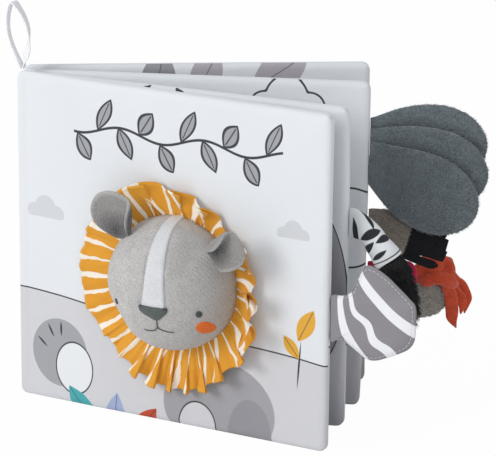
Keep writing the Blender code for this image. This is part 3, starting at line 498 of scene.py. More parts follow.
def board_surface(board, across, up, side, seed):
    """Points of a board's printed face, with its puckers and soft wrinkles, and their flat places."""
    height = board_height(board)
    half = board_half(across, up, height)
    seam = SEAM_VALLEY * np.exp(-((half / SEAM_SOFTNESS) ** 2))
    at_seam = [distance < SEAM_SOFTNESS for distance in (FORE_EDGE - across, up, height - up)]
    flat = np.stack([across, np.full_like(across, side * 9.0), up], axis=-1)
    edge = edge_distance(across, up, height)
    held = np.clip((edge - 0.6) / 3.0, 0.0, 1.0) * np.clip((across - 4.0) / 10.0, 0.0, 1.0)
    half = half + PUCKER * held * np.exp(-edge / PUCKER_FADING) * rumple(flat, PUCKER_SIZE, seed)
    half = half + WRINKLE * held * rumple(flat * (1.0, 1.0, 0.55), WRINKLE_SIZE, seed + 3)
    plan_across, plan_up = board_plan(across, up, height)
    plan_across = plan_across - seam * at_seam[0]
    plan_up = plan_up + seam * at_seam[1] - seam * at_seam[2]
    lifted = lifted_on(board, plan_up)
    depth = board_middle(board, plan_across, lifted) + side * half
    pulled_across, pulled_up = pulled_corner(board, plan_across, lifted)
    points = np.stack([pulled_across, depth, pulled_up], axis=-1)
    return points, np.stack([plan_across - BOARD_ROOT, lifted], axis=-1)


film = plain_cloth(
    "crinkle film", 0.28, 0.0, 9.0, shade(238, 240, 243), shade(220, 224, 230), grain=3.0, depth=0.5
)
wadding = plain_cloth(
    "wadding", 0.95, 0.0, 3.0, shade(246, 246, 243), shade(228, 228, 224), grain=0.8, depth=0.6
)
FILM_INSET = 1.3
FILM_HALF = 0.15
FILLING_MARGIN = 7.0
for seed, board in enumerate(BOARD_ANGLES):
    height = board_height(board)
    across, up = np.meshgrid(
        fine_stations(SPINE_EDGE, FORE_EDGE, 84), fine_stations(0.0, height, 84), indexing="ij"
    )
    patches = []
    for slot, side in enumerate((-1, 1)):
        points, places = board_surface(board, across, up, side, 11 * seed + slot)
        patches.append((points, places, slot))
    cloths = [page_prints[f"{board}_front"], page_prints[f"{board}_rear"]]
    shell = sew(f"{board}_padded_board", patches, cloths, board, 0.01)
    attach(shell, BOARD_BODIES[board])
    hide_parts(f"{board}_front_cloth", f"{board}_rear_cloth", f"{board}_spine_cloth")

    inner = np.meshgrid(
        np.linspace(BOARD_ROOT + FILLING_MARGIN, FORE_EDGE - FILLING_MARGIN, 40),
        np.linspace(FILLING_MARGIN, height - FILLING_MARGIN, 40),
        indexing="ij",
    )
    half = board_half(*inner, height)
    border = np.minimum(
        np.minimum(inner[0] - BOARD_ROOT, FORE_EDGE - inner[0]), np.minimum(inner[1], height - inner[1])
    )
    rise = swell_from(border - FILLING_MARGIN, 3.0)
    middle = board_middle(board, *inner)
    lifted = inner[1] + (LEAF_INSET if "leaf" in board else 0.0)
    sheet_across, sheet_up = pulled_corner(board, inner[0], lifted)
    crumple = 0.15 * rumple(np.stack([inner[0], middle, inner[1]], axis=-1), 6.0, seed)
    film_middle = middle - np.maximum(half - FILM_INSET, 0.3) + crumple
    wadding_front = film_middle + 0.35
    wadding_rear = np.maximum(middle + half - 1.0, wadding_front + 0.2)
    wadding_middle = (wadding_front + wadding_rear) / 2
    layers = (
        ("crinkle_film", film_middle, FILM_HALF * rise, film),
        ("wadding", wadding_middle, (wadding_rear - wadding_front) / 2 * rise, wadding),
    )
    for layer_name, layer_middle, layer_half, layer_cloth in layers:
        flat = np.stack(inner, axis=-1)
        sides = [
            (np.stack([sheet_across, layer_middle + side * layer_half, sheet_up], axis=-1), flat, 0)
            for side in (-1, 1)
        ]
        filling = sew(f"{board}_{layer_name}_sheet", sides, [layer_cloth], board)
        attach(filling, BOARD_BODIES[board])
        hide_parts(f"{board}_{layer_name}")


# Edge seams
# The two cloths of a board meet in a sunken seam round its edge, which is closed from outside by a row
# of small stitches in white thread. Its stitches are made by Geometry Nodes along the seam.
STITCH_PITCH = 2.9
STITCH_LENGTH = 1.9
STITCH_THICKNESS = 0.36


def node_tree(name, sockets, nodes, links):
    """Geometry Nodes from three tables: named inputs with their kinds, nodes with their settings and
    the values of their sockets, and links. "given" and "made" are the two ends of the tree."""
    tree = bpy.data.node_groups.new(name, "GeometryNodeTree")
    for socket_name, kind in (("Geometry", "Geometry"), *sockets):
        tree.interface.new_socket(socket_name, in_out="INPUT", socket_type=f"NodeSocket{kind}")
    tree.interface.new_socket("Geometry", in_out="OUTPUT", socket_type="NodeSocketGeometry")
    placed = {"given": tree.nodes.new("NodeGroupInput"), "made": tree.nodes.new("NodeGroupOutput")}
    for node_name, (kind, settings, values) in nodes.items():
        node = placed[node_name] = tree.nodes.new(kind)
        for key, value in settings.items():
            setattr(node, key, value)
        for key, value in values.items():
            node.inputs[key].default_value = value
    for start_node, output, end_node, socket in links:
        tree.links.new(placed[start_node].outputs[output], placed[end_node].inputs[socket])
    return tree


stitches = node_tree(
    "stitches",
    (("Pitch", "Float"), ("Stitch length", "Float"), ("Thickness", "Float"), ("Thread", "Material")),
    {
        "points": ("GeometryNodeCurveToPoints", {"mode": "LENGTH"}, {}),
        "bead": ("GeometryNodeMeshUVSphere", {}, {"Segments": 6, "Rings": 4, "Radius": 0.5}),
        "size": ("ShaderNodeCombineXYZ", {}, {}),
        "rows": ("GeometryNodeInstanceOnPoints", {}, {}),
        "solid": ("GeometryNodeRealizeInstances", {}, {}),
        "paint": ("GeometryNodeSetMaterial", {}, {}),
    },
    (
        ("given", "Geometry", "points", "Curve"),
        ("given", "Pitch", "points", "Length"),
        ("given", "Thickness", "size", "X"),
        ("given", "Thickness", "size", "Y"),
        ("given", "Stitch length", "size", "Z"),
        ("points", "Points", "rows", "Points"),
        ("points", "Rotation", "rows", "Rotation"),
        ("bead", "Mesh", "rows", "Instance"),
        ("size", "Vector", "rows", "Scale"),
        ("rows", "Instances", "solid", "Geometry"),
        ("solid", "Geometry", "paint", "Geometry"),
        ("given", "Thread", "paint", "Material"),
        ("paint", "Geometry", "made", "Geometry"),
    ),
)


def made_by_nodes(name, source, tree, sizes):
    """Runs a node tree on an object and keeps the plain mesh it gives."""
    modifier = source.modifiers.new("maker", "NODES")
    modifier.node_group = tree
    sockets = {item.name: item.identifier for item in tree.interface.items_tree if item.in_out == "INPUT"}
    for key, value in sizes.items():
        modifier[sockets[key]] = value
    bpy.context.view_layer.update()
    evaluated = source.evaluated_get(bpy.context.evaluated_depsgraph_get())
    mesh = bpy.data.meshes.new_from_object(evaluated)
    mesh.name = name
    bpy.data.objects.remove(source)
    mesh.shade_smooth()
    return put(name, mesh)


def stitch_rows(
    name, rows, board, thread, pitch=STITCH_PITCH, length=STITCH_LENGTH, thickness=STITCH_THICKNESS
):
    """Stitches along rows of points in a board's frame."""
    curve = bpy.data.curves.new(name, "CURVE")
    curve.dimensions = "3D"
    for row in rows:
        line = curve.splines.new("POLY")
        line.points.add(len(row) - 1)
        for point, place in zip(line.points, row):
            point.co = (*(board_frames[board] @ (Vector(place) * MM)), 1.0)
    sizes = {
        "Pitch": pitch * MM,
        "Stitch length": length * MM,
        "Thickness": thickness * MM,
        "Thread": thread,
    }
    return made_by_nodes(name, put(name, curve), stitches, sizes)


def plain_thread(name, colour, darker):
    return plain_cloth(name, 0.6, 0.1, 1.2, colour, darker, grain=0.25, depth=0.08)


white_thread = plain_thread("white thread", shade(232, 233, 236), shade(206, 208, 213))
for board in BOARD_ANGLES:
    height = board_height(board)
    far, top = FORE_EDGE - SEAM_VALLEY * 0.8, height - SEAM_VALLEY * 0.8
    corner = CORNER_RADIUS - SEAM_VALLEY
    angles = np.linspace(0.0, math.pi / 2, 10)
    side_up = np.linspace(corner + 1.0, top - corner - 0.5, 90)
    top_across = np.linspace(far - corner - 0.5, BOARD_ROOT + 6.0, 90)
    across = np.concatenate([np.full(90, far), far - corner + corner * np.cos(angles), top_across])
    up = np.concatenate([side_up, top - corner + corner * np.sin(angles), np.full(90, top)])
    lifted = lifted_on(board, up)
    pulled_across, pulled_up = pulled_corner(board, across, lifted)
    row = np.stack([pulled_across, board_middle(board, across, lifted), pulled_up], axis=-1)
    seam = stitch_rows(f"{board}_edge_seam", [row], board, white_thread)
    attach(seam, BOARD_BODIES[board])


# Hanging loop
# A length of woven ribbon is folded in two and its ends are caught in the head of the spine. It
# stands up in a drop shape, pinched where its strands meet.
def swept(centres, first, second, first_half, second_half, columns, power=2.0):
    """A closed tube through centres: rows of an oval or squarer section between two half sizes, on
    two directions at each centre. Both ends close to a point. Also gives places on the flat cloth."""
    turns = np.linspace(0.0, 2 * math.pi, columns + 1)
    cosine = np.sign(np.cos(turns)) * np.abs(np.cos(turns)) ** (2 / power)
    sine = np.sign(np.sin(turns)) * np.abs(np.sin(turns)) ** (2 / power)
    rows = (
        centres[:, None]
        + first[:, None] * (first_half[:, None] * cosine)[..., None]
        + second[:, None] * (second_half[:, None] * sine)[..., None]
    )
    ends = [np.repeat(rows[[end]].mean(axis=1, keepdims=True), columns + 1, axis=1) for end in (0, -1)]
    rows = np.concatenate([ends[0], rows, ends[1]])
    along = np.concatenate([[0.0], np.cumsum(np.linalg.norm(np.diff(centres, axis=0), axis=1))])
    along = np.concatenate([[along[0]], along, [along[-1]]])
    around = turns * (first_half.max() + second_half.max()) / 2
    return rows, np.stack(np.broadcast_arrays(along[:, None], around[None]), axis=-1)


LOOP_HALF_WIDTH = 3.5
LOOP_HALF_THICKNESS = 0.5
LOOP_PATH = (
    (3.0, 199.2), (1.4, 202.4), (-0.2, 205.4), (-3.0, 211.0), (-5.2, 217.0), (-6.2, 223.0), (-5.9, 229.5),
    (-4.4, 235.0), (-2.3, 237.4), (0.6, 235.0), (4.0, 230.6), (6.8, 225.0), (7.9, 219.0), (7.4, 213.0),
    (5.8, 207.6), (4.6, 203.4), (3.8, 199.2),
)
ribbon_dye = Dye("woven ribbon", 0.55, 0.1)
ribbon_place = ribbon_dye.parts(ribbon_dye.flat_cloth())
ribs = (ribbon_place[0] * (2 * math.pi / 1.1)).math("SINE")
ribbon = ribbon_dye.finish(
    ribbon_dye.mix(ribbon_dye.lumps(8.0), shade(246, 246, 248), shade(232, 233, 236)),
    ribs * 0.4 + ribbon_dye.lumps(0.4),
    0.12,
)


def smooth_path(points, count):
    """A smooth curve through rows of numbers, as this many evenly shared rows."""
    points = np.array(points, dtype=float)
    padded = np.concatenate([2 * points[:1] - points[1:2], points, 2 * points[-1:] - points[-2:-1]])
    shares = np.linspace(0.0, len(points) - 1, count)
    index = np.minimum(shares.astype(int), len(points) - 2)
    part = (shares - index)[:, None]
    before, here, after, later = (padded[index + step] for step in range(4))
    return here + 0.5 * part * (
        after - before
        + part * (2 * before - 5 * here + 4 * after - later + part * (3 * (here - after) + later - before))
    )


def directions(points):
    along = np.gradient(points, axis=0)
    return along / np.linalg.norm(along, axis=1, keepdims=True)


loop_path = smooth_path(LOOP_PATH, 140)
centres = np.stack([loop_path[:, 0], np.full(140, BOARD_MIDDLE), loop_path[:, 1]], axis=-1)
out_of_board = np.tile((0.0, 1.0, 0.0), (140, 1))
along = directions(centres)
shares = np.linspace(0.0, 1.0, 140)
twist = 0.3 * np.sin(2 * math.pi * shares) - 0.8 * np.exp(-(((shares - 0.87) / 0.09) ** 2))
outwards = np.cross(along, out_of_board)
ribbon_width = out_of_board * np.cos(twist)[:, None] + outwards * np.sin(twist)[:, None]
ribbon_face = np.cross(along, ribbon_width)
pinch = 0.62 + 0.38 * np.sin(math.pi * shares) ** 0.5
ends = swell_from(np.minimum(shares, 1 - shares) + 0.002, 0.01)
points, places = swept(
    centres, ribbon_width, ribbon_face, LOOP_HALF_WIDTH * pinch * ends, LOOP_HALF_THICKNESS * ends, 20, 5.0
)
loop = sew("ribbon_loop", [(points, places, 0)], [ribbon], "front_cover")
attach(loop, "hanging_loop")
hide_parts("hanging_loop")


# Lion head
# The head is short knitted plush sewn from two halves and a pale blaze, stuffed firmly and sewn down
# to the cover. Its muzzle stands out and the seams draw shallow valleys beside the blaze.
HEAD_ACROSS = 105.0
HEAD_UP = 88.0
HEAD_HALF = 39.5
HEAD_DEPTH = 34.0
HEAD_POWER = 2.4
HEAD_BULGES = (
    (4.0, -14.0, 14.0, 9.0, 3.0),
    (24.0, -20.0, 9.0, 8.0, 1.6),
    (-14.0, -16.0, 8.0, 9.0, 1.8),
    (21.0, 26.0, 7.0, 6.5, -5.0),
    (15.0, 12.0, 9.0, 9.0, 0.9),
    (-17.0, 16.0, 8.0, 9.0, -1.2),
    (-30.0, -22.0, 9.0, 9.0, -4.5),
)
BLAZE_FOOT = -5.5
BLAZE_TOP = 39.46
BLAZE_MIDDLE = 3.5
BLAZE_LEAN = 0.03
BLAZE_TOP_HALF = 3.9
BLAZE_FLARE = 4.1
BLAZE_SEAM_DEPTH = 0.8
BLAZE_SEAM_HALF = 0.9
PLUSH_ROUGHNESS = 0.95
WAVES_PER_METRE = 1 / 6.3


def blaze_middle(up):
    return BLAZE_MIDDLE - BLAZE_LEAN * (up - BLAZE_FOOT)


def blaze_half(up):
    share = np.clip((BLAZE_TOP - up) / (BLAZE_TOP - BLAZE_FOOT), 0.0, 1.0)
    return BLAZE_TOP_HALF + BLAZE_FLARE * share**0.85


def head_lift(across, up):
    """How far the head stands off the cover at a place from its middle."""
    reach = np.clip(np.hypot(across, up) / HEAD_HALF, 0.0, 1.0)
    dome = (1 - reach**HEAD_POWER) ** (1 / HEAD_POWER)
    lift = HEAD_DEPTH * dome
    for bulge_across, bulge_up, half_across, half_up, height in HEAD_BULGES:
        spread = ((across - bulge_across) / half_across) ** 2 + ((up - bulge_up) / half_up) ** 2
        lift = lift + height * np.exp(-spread / 2) * np.minimum(dome * 1.6, 1.0)
    seam = np.abs(np.abs(across - blaze_middle(up)) - blaze_half(up))
    valley = BLAZE_SEAM_DEPTH * np.exp(-((seam / BLAZE_SEAM_HALF) ** 2)) * np.minimum(dome, 1.0)
    return lift - valley * (up > BLAZE_FOOT)


COVER_FACE = float(
    board_middle("front_cover", HEAD_ACROSS, HEAD_UP)
    - board_half(HEAD_ACROSS, HEAD_UP, COVER_HEIGHT + FOOT_CUT)
)


def on_head(across, up, lift):
    """Points in the front cover's frame at places from the head's middle, this far off the cover."""
    return np.stack(
        np.broadcast_arrays(BOARD_ROOT + HEAD_ACROSS + across, COVER_FACE - lift, HEAD_UP + up), axis=-1
    )


def off_head(across, up, offset):
    """Points this far off the head's own surface, measured square to it."""
    step = 0.05
    lean_across = (head_lift(across + step, up) - head_lift(across - step, up)) / (2 * step)
    lean_up = (head_lift(across, up + step) - head_lift(across, up - step)) / (2 * step)
    length = np.sqrt(1 + lean_across**2 + lean_up**2)
    return on_head(
        across - offset * lean_across / length,
        up - offset * lean_up / length,
        head_lift(across, up) + offset / length,
    )


def short_plush(name, colour, darker, sheen=0.3, rows=0.0, depth=0.45, nap_size=0.5, turned=None):
    """Short plush: a fine nap with lighter and darker tufts, over the rows of its knitted ground. Turned, a
    run across the piece, adds painted shade that darkens it from the run's start onwards.
    """
    dye = Dye(name, PLUSH_ROUGHNESS, sheen)
    nap = dye.lumps(nap_size, 2.0)
    tone = dye.mix(dye.lumps(7.0, 3.0).scaled(1.6, -0.3), darker, colour)
    tips = nap.math("MULTIPLY_ADD", 3.2, -1.1, use_clamp=True)
    tone = dye.mix(tips * 0.5, tone, tuple(min(1.0, part * 1.25) for part in colour[:3]) + (1.0,))
    tone = dye.mix((1 - tips) * 0.55, tone, darker)
    relief = nap + dye.lumps(nap_size * 4) * 0.5
    # Painted shade: the tone darkens across the piece towards the side away from the light.
    if turned:
        across = dye.parts(dye.flat_cloth())[0]
        run = turned[1] - turned[0]
        away = across.scaled(1 / run, -turned[0] / run).math("MULTIPLY", 0.6, use_clamp=True)
        tone = dye.mix(away, tone, darker)
    if rows:
        place = dye.node("ShaderNodeTexCoord", output=3)
        knit = {"Vector": place, "Scale": WAVES_PER_METRE / (rows * MM), "Distortion": 5.0, "Detail": 2.0}
        wave = dye.node("ShaderNodeTexWave", knit, bands_direction="DIAGONAL")
        relief = relief + wave * 0.22
    return dye.finish(tone, relief, depth)


def head_cap(shrink, inset, columns, rows):
    """A closed dome in the head's shape, shrunk towards its middle and sunk below its surface."""
    turns = np.linspace(0.0, 2 * math.pi, columns + 1)
    reach = HEAD_HALF * np.linspace(1.0, 0.0, rows)[:, None] ** 0.75
    across, up = reach * np.cos(turns), reach * np.sin(turns)
    lift = np.maximum(head_lift(across, up) - inset, 0.4)
    points = on_head(across * shrink, up * shrink, lift)
    base_shares = np.linspace(1.0, 0.0, 8)[:, None] * shrink
    base_reach = HEAD_HALF * base_shares
    base = on_head(base_reach * np.cos(turns), base_reach * np.sin(turns), 0.25 + inset / 9)
    points[0] = base[0]
    return points, np.stack([across, up], axis=-1), base


# The head plush is painted darker towards its right side, as shade from the light on the left.
head_plush = short_plush(
    "grey head plush with painted shade", shade(212, 210, 208), shade(164, 162, 161), 0.45, 0.9, 0.9, 0.8, (-30.0, 24.0)
)
points, flat, base = head_cap(1.0, 0.0, 240, 86)
points[..., 1] -= 0.3 * np.minimum((COVER_FACE - points[..., 1]) / 6, 1.0) * rumple(points, 6.0, 2)
head = sew("lion_head_shell", [(points, flat, 0), (base, base[..., [0, 2]], 0)], [head_plush], "front_cover")
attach(head, "front_cover")
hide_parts("lion_head_plush")
points, flat, base = head_cap(0.955, 1.8, 72, 30)
stuffing_patches = [(points, flat, 0), (base, base[..., [0, 2]], 0)]
stuffing = sew("lion_head_filling", stuffing_patches, [wadding], "front_cover")
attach(stuffing, "front_cover")
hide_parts("lion_head_stuffing")


# Lion face
# The blaze is a paler plush panel let in between the halves, the nose is a padded patch of dark
# plush, and the eyes, cheeks and mouth are embroidered on the finished head.
def trim(name, outline, rise, cloth, lift=0.0, rings=14, power=3.0):
    """A thin piece that follows the head inside a closed outline of places across and up."""
    outline = np.array(outline)
    middle = outline.mean(axis=0)
    shares = np.linspace(0.0, 1.0, rings)[:, None] ** 0.8
    across = middle[0] + shares * (outline[:, 0] - middle[0])
    up = middle[1] + shares * (outline[:, 1] - middle[1])
    domed = lift + rise * (1 - shares**power) ** (1 / power)
    front = off_head(across, up, domed)
    rear = off_head(across, up, np.full_like(across, -0.5))
    front[-1] = rear[-1] = off_head(across[-1], up[-1], -0.1)
    flat = np.stack([across, up], axis=-1)
    piece = sew(name, [(front, flat, 0), (rear, flat, 0)], [cloth], "front_cover")
    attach(piece, "front_cover")
    return piece


def closed_curve(points, count):
    """A smooth closed curve through given places."""
    points = np.array(points, dtype=float)
    wrapped = np.concatenate([points[-2:], points, points[:3]])
    steps = max(count // len(points), 2)
    curve = smooth_path(wrapped, (len(wrapped) - 1) * steps + 1)
    return curve[2 * steps:(2 + len(points)) * steps + 1]


pale_plush = short_plush("pale blaze plush", shade(216, 217, 220), shade(198, 199, 203), rows=1.1, depth=0.3)
ups = BLAZE_FOOT + (BLAZE_TOP - BLAZE_FOOT) * np.sin(np.linspace(0.0, math.pi / 2, 60))
left_edge = np.stack([blaze_middle(ups) - blaze_half(ups) + 0.3, ups], axis=-1)
right_edge = np.stack([blaze_middle(ups) + blaze_half(ups) - 0.3, ups], axis=-1)
blaze_shares = np.linspace(0.0, 1.0, 15)
across = left_edge[:, None, 0] + (right_edge - left_edge)[:, None, 0] * blaze_shares
up = np.repeat(ups[:, None], 15, axis=1)
side_border = np.minimum(blaze_shares, 1 - blaze_shares)[None] * 10
border = np.minimum(side_border, np.minimum(up - BLAZE_FOOT, (BLAZE_TOP - up) * 12))
swelling = swell_from(border, 1.5)
points = off_head(across, up, 0.75 * swelling - 0.1)
under = off_head(across, up, -0.5 * swelling - 0.1)
flat = np.stack([across, up], axis=-1)
blaze = sew("lion_blaze_panel", [(points, flat, 0), (under, flat, 0)], [pale_plush], "front_cover")
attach(blaze, "front_cover")
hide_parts("lion_blaze")

nose_plush = short_plush("dark nose plush", shade(98, 104, 102), shade(76, 82, 80), 0.2, depth=0.35)
NOSE_OUTLINE = (
    (-5.6, -5.9), (-5.0, -4.9), (-2.0, -4.5), (3.4, -4.7), (8.6, -4.6), (11.8, -4.6), (12.7, -5.8),
    (12.0, -7.6), (9.8, -9.8), (8.0, -11.6), (6.4, -12.3), (4.6, -11.8), (1.6, -10.6), (-1.6, -9.4),
    (-4.4, -7.8),
)
nose = trim("lion_nose_patch", closed_curve(NOSE_OUTLINE, 90), 1.9, nose_plush, 0.2, 16, 2.2)
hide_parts("lion_nose")


def satin_thread(name, colour, darker, slope):
    """Close rows of shiny embroidery thread at this slope, in degrees."""
    dye = Dye(name, 0.55, 0.1)
    x, z, _ = dye.parts(dye.flat_cloth())
    lean = math.radians(slope)
    rows = (x.scaled(math.cos(lean) * 9.0, z * (math.sin(lean) * 9.0))).math("SINE")
    tone = dye.mix((rows * 0.3 + dye.lumps(1.2)).math("MULTIPLY", 1.0, use_clamp=True), darker, colour)
    return dye.finish(tone, rows * 0.5 + dye.lumps(0.4) * 0.4, 0.25)


eye_thread = satin_thread("eye thread", shade(84, 92, 90), shade(56, 64, 62), 20.0)
cheek_thread = satin_thread("cheek thread", shade(236, 122, 44), shade(216, 98, 32), 0.0)
ovals = np.linspace(0.0, 2 * math.pi, 49)
FACE_MARKS = {
    "left": ((-23.6, -8.0, 1.4, 1.9), (-33.6, -19.6, 2.2, 3.4)),
    "right": ((28.2, -7.7, 1.5, 2.0), (29.6, -17.0, 3.5, 4.4)),
}
for side, marks in FACE_MARKS.items():
    for kind, (mark_across, mark_up, half_across, half_up) in zip(("eye", "cheek"), marks):
        ragged = 1 + 0.025 * np.sin(17 * ovals)
        outline_across = mark_across + half_across * ragged * np.cos(ovals)
        outline_up = mark_up + half_up * ragged * np.sin(ovals)
        mark_outline = np.stack([outline_across, outline_up], axis=-1)
        cloth = eye_thread if kind == "eye" else cheek_thread
        mark = trim(f"lion_{kind}_{side}_stitching", mark_outline, 0.6, cloth, 0.1, 12, 2.4)
        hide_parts(f"lion_{kind}_{side}")

MOUTH_LINE = (
    (-2.6, -19.2), (-0.4, -19.8), (2.6, -19.3), (5.0, -18.1), (6.3, -16.5), (7.6, -17.6),
    (9.8, -18.4), (12.4, -18.9), (15.4, -18.9),
)
LIP_LINE = ((6.4, -12.0), (6.4, -14.2), (6.3, -16.4))
mouth_thread = plain_thread("mouth thread", shade(88, 90, 92), shade(62, 64, 66))
for line_name, line, node in (
    ("lion_mouth_stitching", MOUTH_LINE, "lion_mouth"), ("lion_lip_stitching", LIP_LINE, "lion_lip_line"),
):
    path = smooth_path(line, 60)
    centres = off_head(path[:, 0], path[:, 1], np.full(60, 0.3))
    along = directions(centres)
    depth = np.tile((0.0, -1.0, 0.0), (60, 1))
    aside = np.cross(along, depth)
    taper = 0.3 * swell_from(np.minimum(np.arange(60), 59 - np.arange(60)) + 0.5, 8.0)
    points, places = swept(centres, aside, depth, taper, taper, 8)
    stitched = sew(line_name, [(points, places, 0)], [mouth_thread], "front_cover", weld=0.004)
    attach(stitched, "front_cover")
    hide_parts(node)


# Lion ears
# Each ear is two discs of the head's plush sewn round and turned. Its foot is pinched, so that its
# sides curl forwards, and it is caught in the seam round the head.
EAR_HEIGHT = 17.0
EAR_TILT = 12.0
EAR_ROOT = 2.2
EAR_HALF_WIDTH = 15.0
EAR_HALF_THICKNESS = 1.9
EAR_RIM_HALF = 15.2
EAR_RIM_MIDDLE = 0.84
EARS = {
    "left": {
        "direction": 137.0, "axis": 95.0, "length": 29.5, "tip": 2.0,
        "curls": ((1, 4.0, 2.2, 92.0, 0.0, 14.0), (-1, 6.0, 12.0, 50.0, 0.2, 0.0)),
    },
    "right": {
        "direction": 38.0, "axis": 32.0, "length": 27.0, "tip": 3.0,
        "curls": ((1, 2.0, 7.0, 96.0, 0.15, 10.0), (-1, 1.0, 3.6, 142.0, 0.25, -8.0)),
    },
}


def ear_cloth(name, hollow_middle, hollow_radius, hollow_shade, away_shade):
    """Ear plush with painted light: painted shade in the hollow and on the face past the fold, and a painted
    highlight on the rim.
    """
    dye = Dye(name, PLUSH_ROUGHNESS, 0.4)
    spread, along, _ = dye.parts(dye.flat_cloth())
    tips = dye.lumps(0.8, 2.0).math("MULTIPLY_ADD", 3.2, -1.1, use_clamp=True)
    tone = dye.mix(tips, shade(148, 145, 143), shade(170, 167, 165))
    # Painted shade, deepest in the middle of the hollow.
    hollow = spread.scaled(1.0, -hollow_middle[0]) ** 2.0 + along.scaled(1.0, -hollow_middle[1]) ** 2.0
    hollow = hollow.math("SQRT")
    deep = hollow.scaled(-1 / hollow_radius, 1.0).math("MULTIPLY", hollow_shade, use_clamp=True)
    tone = dye.mix(deep, tone, shade(62, 60, 60))
    # Painted shade over the part past the fold, which faces away from the light.
    away = spread.scaled(1 / 3.0, -1.0).math("MULTIPLY", away_shade, use_clamp=True)
    tone = dye.mix(away, tone, shade(88, 86, 85))
    # A painted highlight round the rim.
    rim = spread.scaled(1 / EAR_HALF_WIDTH, 0.0) ** 2.0
    rim = rim + along.scaled(1 / EAR_RIM_HALF, -EAR_RIM_MIDDLE) ** 2.0
    bright = rim.scaled(5.0, -3.9).math("MULTIPLY", 0.75, use_clamp=True)
    tone = dye.mix(bright, tone, shade(192, 190, 187))
    return dye.finish(tone, tips + dye.lumps(3.0) * 0.5, 0.8)


# The front face has painted shade in its hollow and the rear face has painted shade past its fold. Both have
# a painted highlight on the rim.
ear_front_plush_painted_shading = ear_cloth("ear front plush with painted shade and highlight", (-1.0, 4.0), 15.0, 1.1, 0.0)
ear_rear_plush_painted_shading = ear_cloth("ear rear plush with painted shade and highlight", (0.0, 0.0), 1.0, 0.0, 0.85)


def curled(spread, along, curls, length):
    """Where the cloth of an ear lies when its sides curl forwards past a leaning line on each side."""
    places = np.stack([spread, along, np.zeros_like(spread)], axis=-1)
    square = np.zeros_like(places)
    square[..., 2] = 1.0
    for side, start, bend, angle, fading, lean in curls:
        lean = math.radians(lean)
        cosine, sine = math.cos(lean), math.sin(lean)
        off_line, on_line = spread * cosine - along * sine, spread * sine + along * cosine
        past = np.maximum(side * off_line - start, 0.0)
        full = np.radians(angle) * (1 - fading * np.clip(along / length, 0.0, 1.0) ** 1.5)
        turned = np.minimum(past / bend, full)
        straight = np.maximum(past - bend * full, 0.0)
        moved = side * (start + bend * np.sin(turned) + straight * np.cos(full))
        height = bend * (1 - np.cos(turned)) + straight * np.sin(full)
        curved = np.stack([moved * cosine + on_line * sine, on_line * cosine - moved * sine, height], axis=-1)
        tipped = -side * np.sin(turned)
        leaning = np.stack([tipped * cosine, -tipped * sine, np.cos(turned)], axis=-1)
        beyond = (past > 0)[..., None]
        places = np.where(beyond, curved, places)
        square = np.where(beyond, leaning, square)
    return places, square


for side, ear in EARS.items():
    turn = math.radians(ear["direction"])
    edge = HEAD_HALF * (1 - (EAR_HEIGHT / HEAD_DEPTH) ** HEAD_POWER) ** (1 / HEAD_POWER)
    reach = edge + 0.7 + EAR_ROOT
    foot = on_head(reach * math.cos(turn), reach * math.sin(turn), EAR_HEIGHT)
    axis = math.radians(ear["axis"])
    outwards = Vector((math.cos(axis), 0.0, math.sin(axis)))
    off_cover = Vector((0.0, -1.0, 0.0))
    axes = Matrix((outwards.cross(off_cover), outwards, off_cover)).transposed()
    axes = np.array(axes @ Matrix.Rotation(math.radians(EAR_TILT), 3, "X"))
    half_length = (ear["length"] + EAR_ROOT) / 2
    shares = np.sin(np.linspace(0.0, math.pi / 2, 34))[:, None]
    angles = np.linspace(0.0, 2 * math.pi, 121)[None]
    along = half_length * (1 + shares * np.sin(angles)) - EAR_ROOT
    foot_pinch = 1 - 0.3 * np.exp(-np.maximum(along + EAR_ROOT, 0.0) / 4.0)
    spread = EAR_HALF_WIDTH * shares * np.cos(angles) * foot_pinch
    middle, square = curled(spread, along, ear["curls"], ear["length"])
    middle[..., 2] += ear["tip"] * np.maximum(along / ear["length"], 0.0) ** 3 - 1.0
    root_squeeze = 1 - 0.35 * np.exp(-np.maximum(along + EAR_ROOT, 0.0) / 3.0)
    puff = EAR_HALF_THICKNESS * (1 - shares**5) ** 0.5 * root_squeeze
    flat = np.stack([spread, along], axis=-1)
    patches = []
    for slot, face in enumerate((1, -1)):
        offset = face * puff + 0.25 * rumple(middle, 5.0, 8 + face) * (1 - shares**6)
        patches.append((foot + (middle + offset[..., None] * square) @ axes.T, flat, slot))
    piece = sew(f"lion_ear_{side}_plush", patches, [ear_front_plush_painted_shading, ear_rear_plush_painted_shading], "front_cover")
    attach(piece, f"lion_ear_{side}")
    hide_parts(f"lion_ear_{side}")


# Mane
# A long doubled strip of striped cotton is gathered along one edge and sewn round the head. It lies
# nearly flat at the left and stands in folds over the head and down its right side.
MANE_INNER = 38.6
MANE_OUTER = 59.0
MANE_WIDTH = 20.0
MANE_SHIFT = (-4.0, -3.0)
MANE_HALF_THICKNESS = 0.6
MANE_STEPS = 1440
MANE_RINGS = 28
STRIPE_PITCH = 12.0
MANE_EXTRA = (
    (0.0, -0.6), (25.0, -2.0), (50.0, -3.6), (75.0, -1.0), (95.0, 1.8), (112.0, 2.6), (140.0, 0.5),
    (180.0, 0.0), (205.0, -1.0), (225.0, -3.6), (245.0, -0.5), (270.0, 3.2), (292.0, 5.0),
    (310.0, 1.0), (326.0, 4.0), (342.0, 1.6),
)
turns = np.linspace(0.0, 2 * math.pi, MANE_STEPS + 1)[None]
shares = np.linspace(0.0, 1.0, MANE_RINGS)[:, None]


def near(turn_degrees, spread_degrees):
    """1 in one direction from the middle of the head, fading to 0 past the spread."""
    away = (np.degrees(turns) - turn_degrees + 180) % 360 - 180
    return np.exp(-((away / spread_degrees) ** 2))


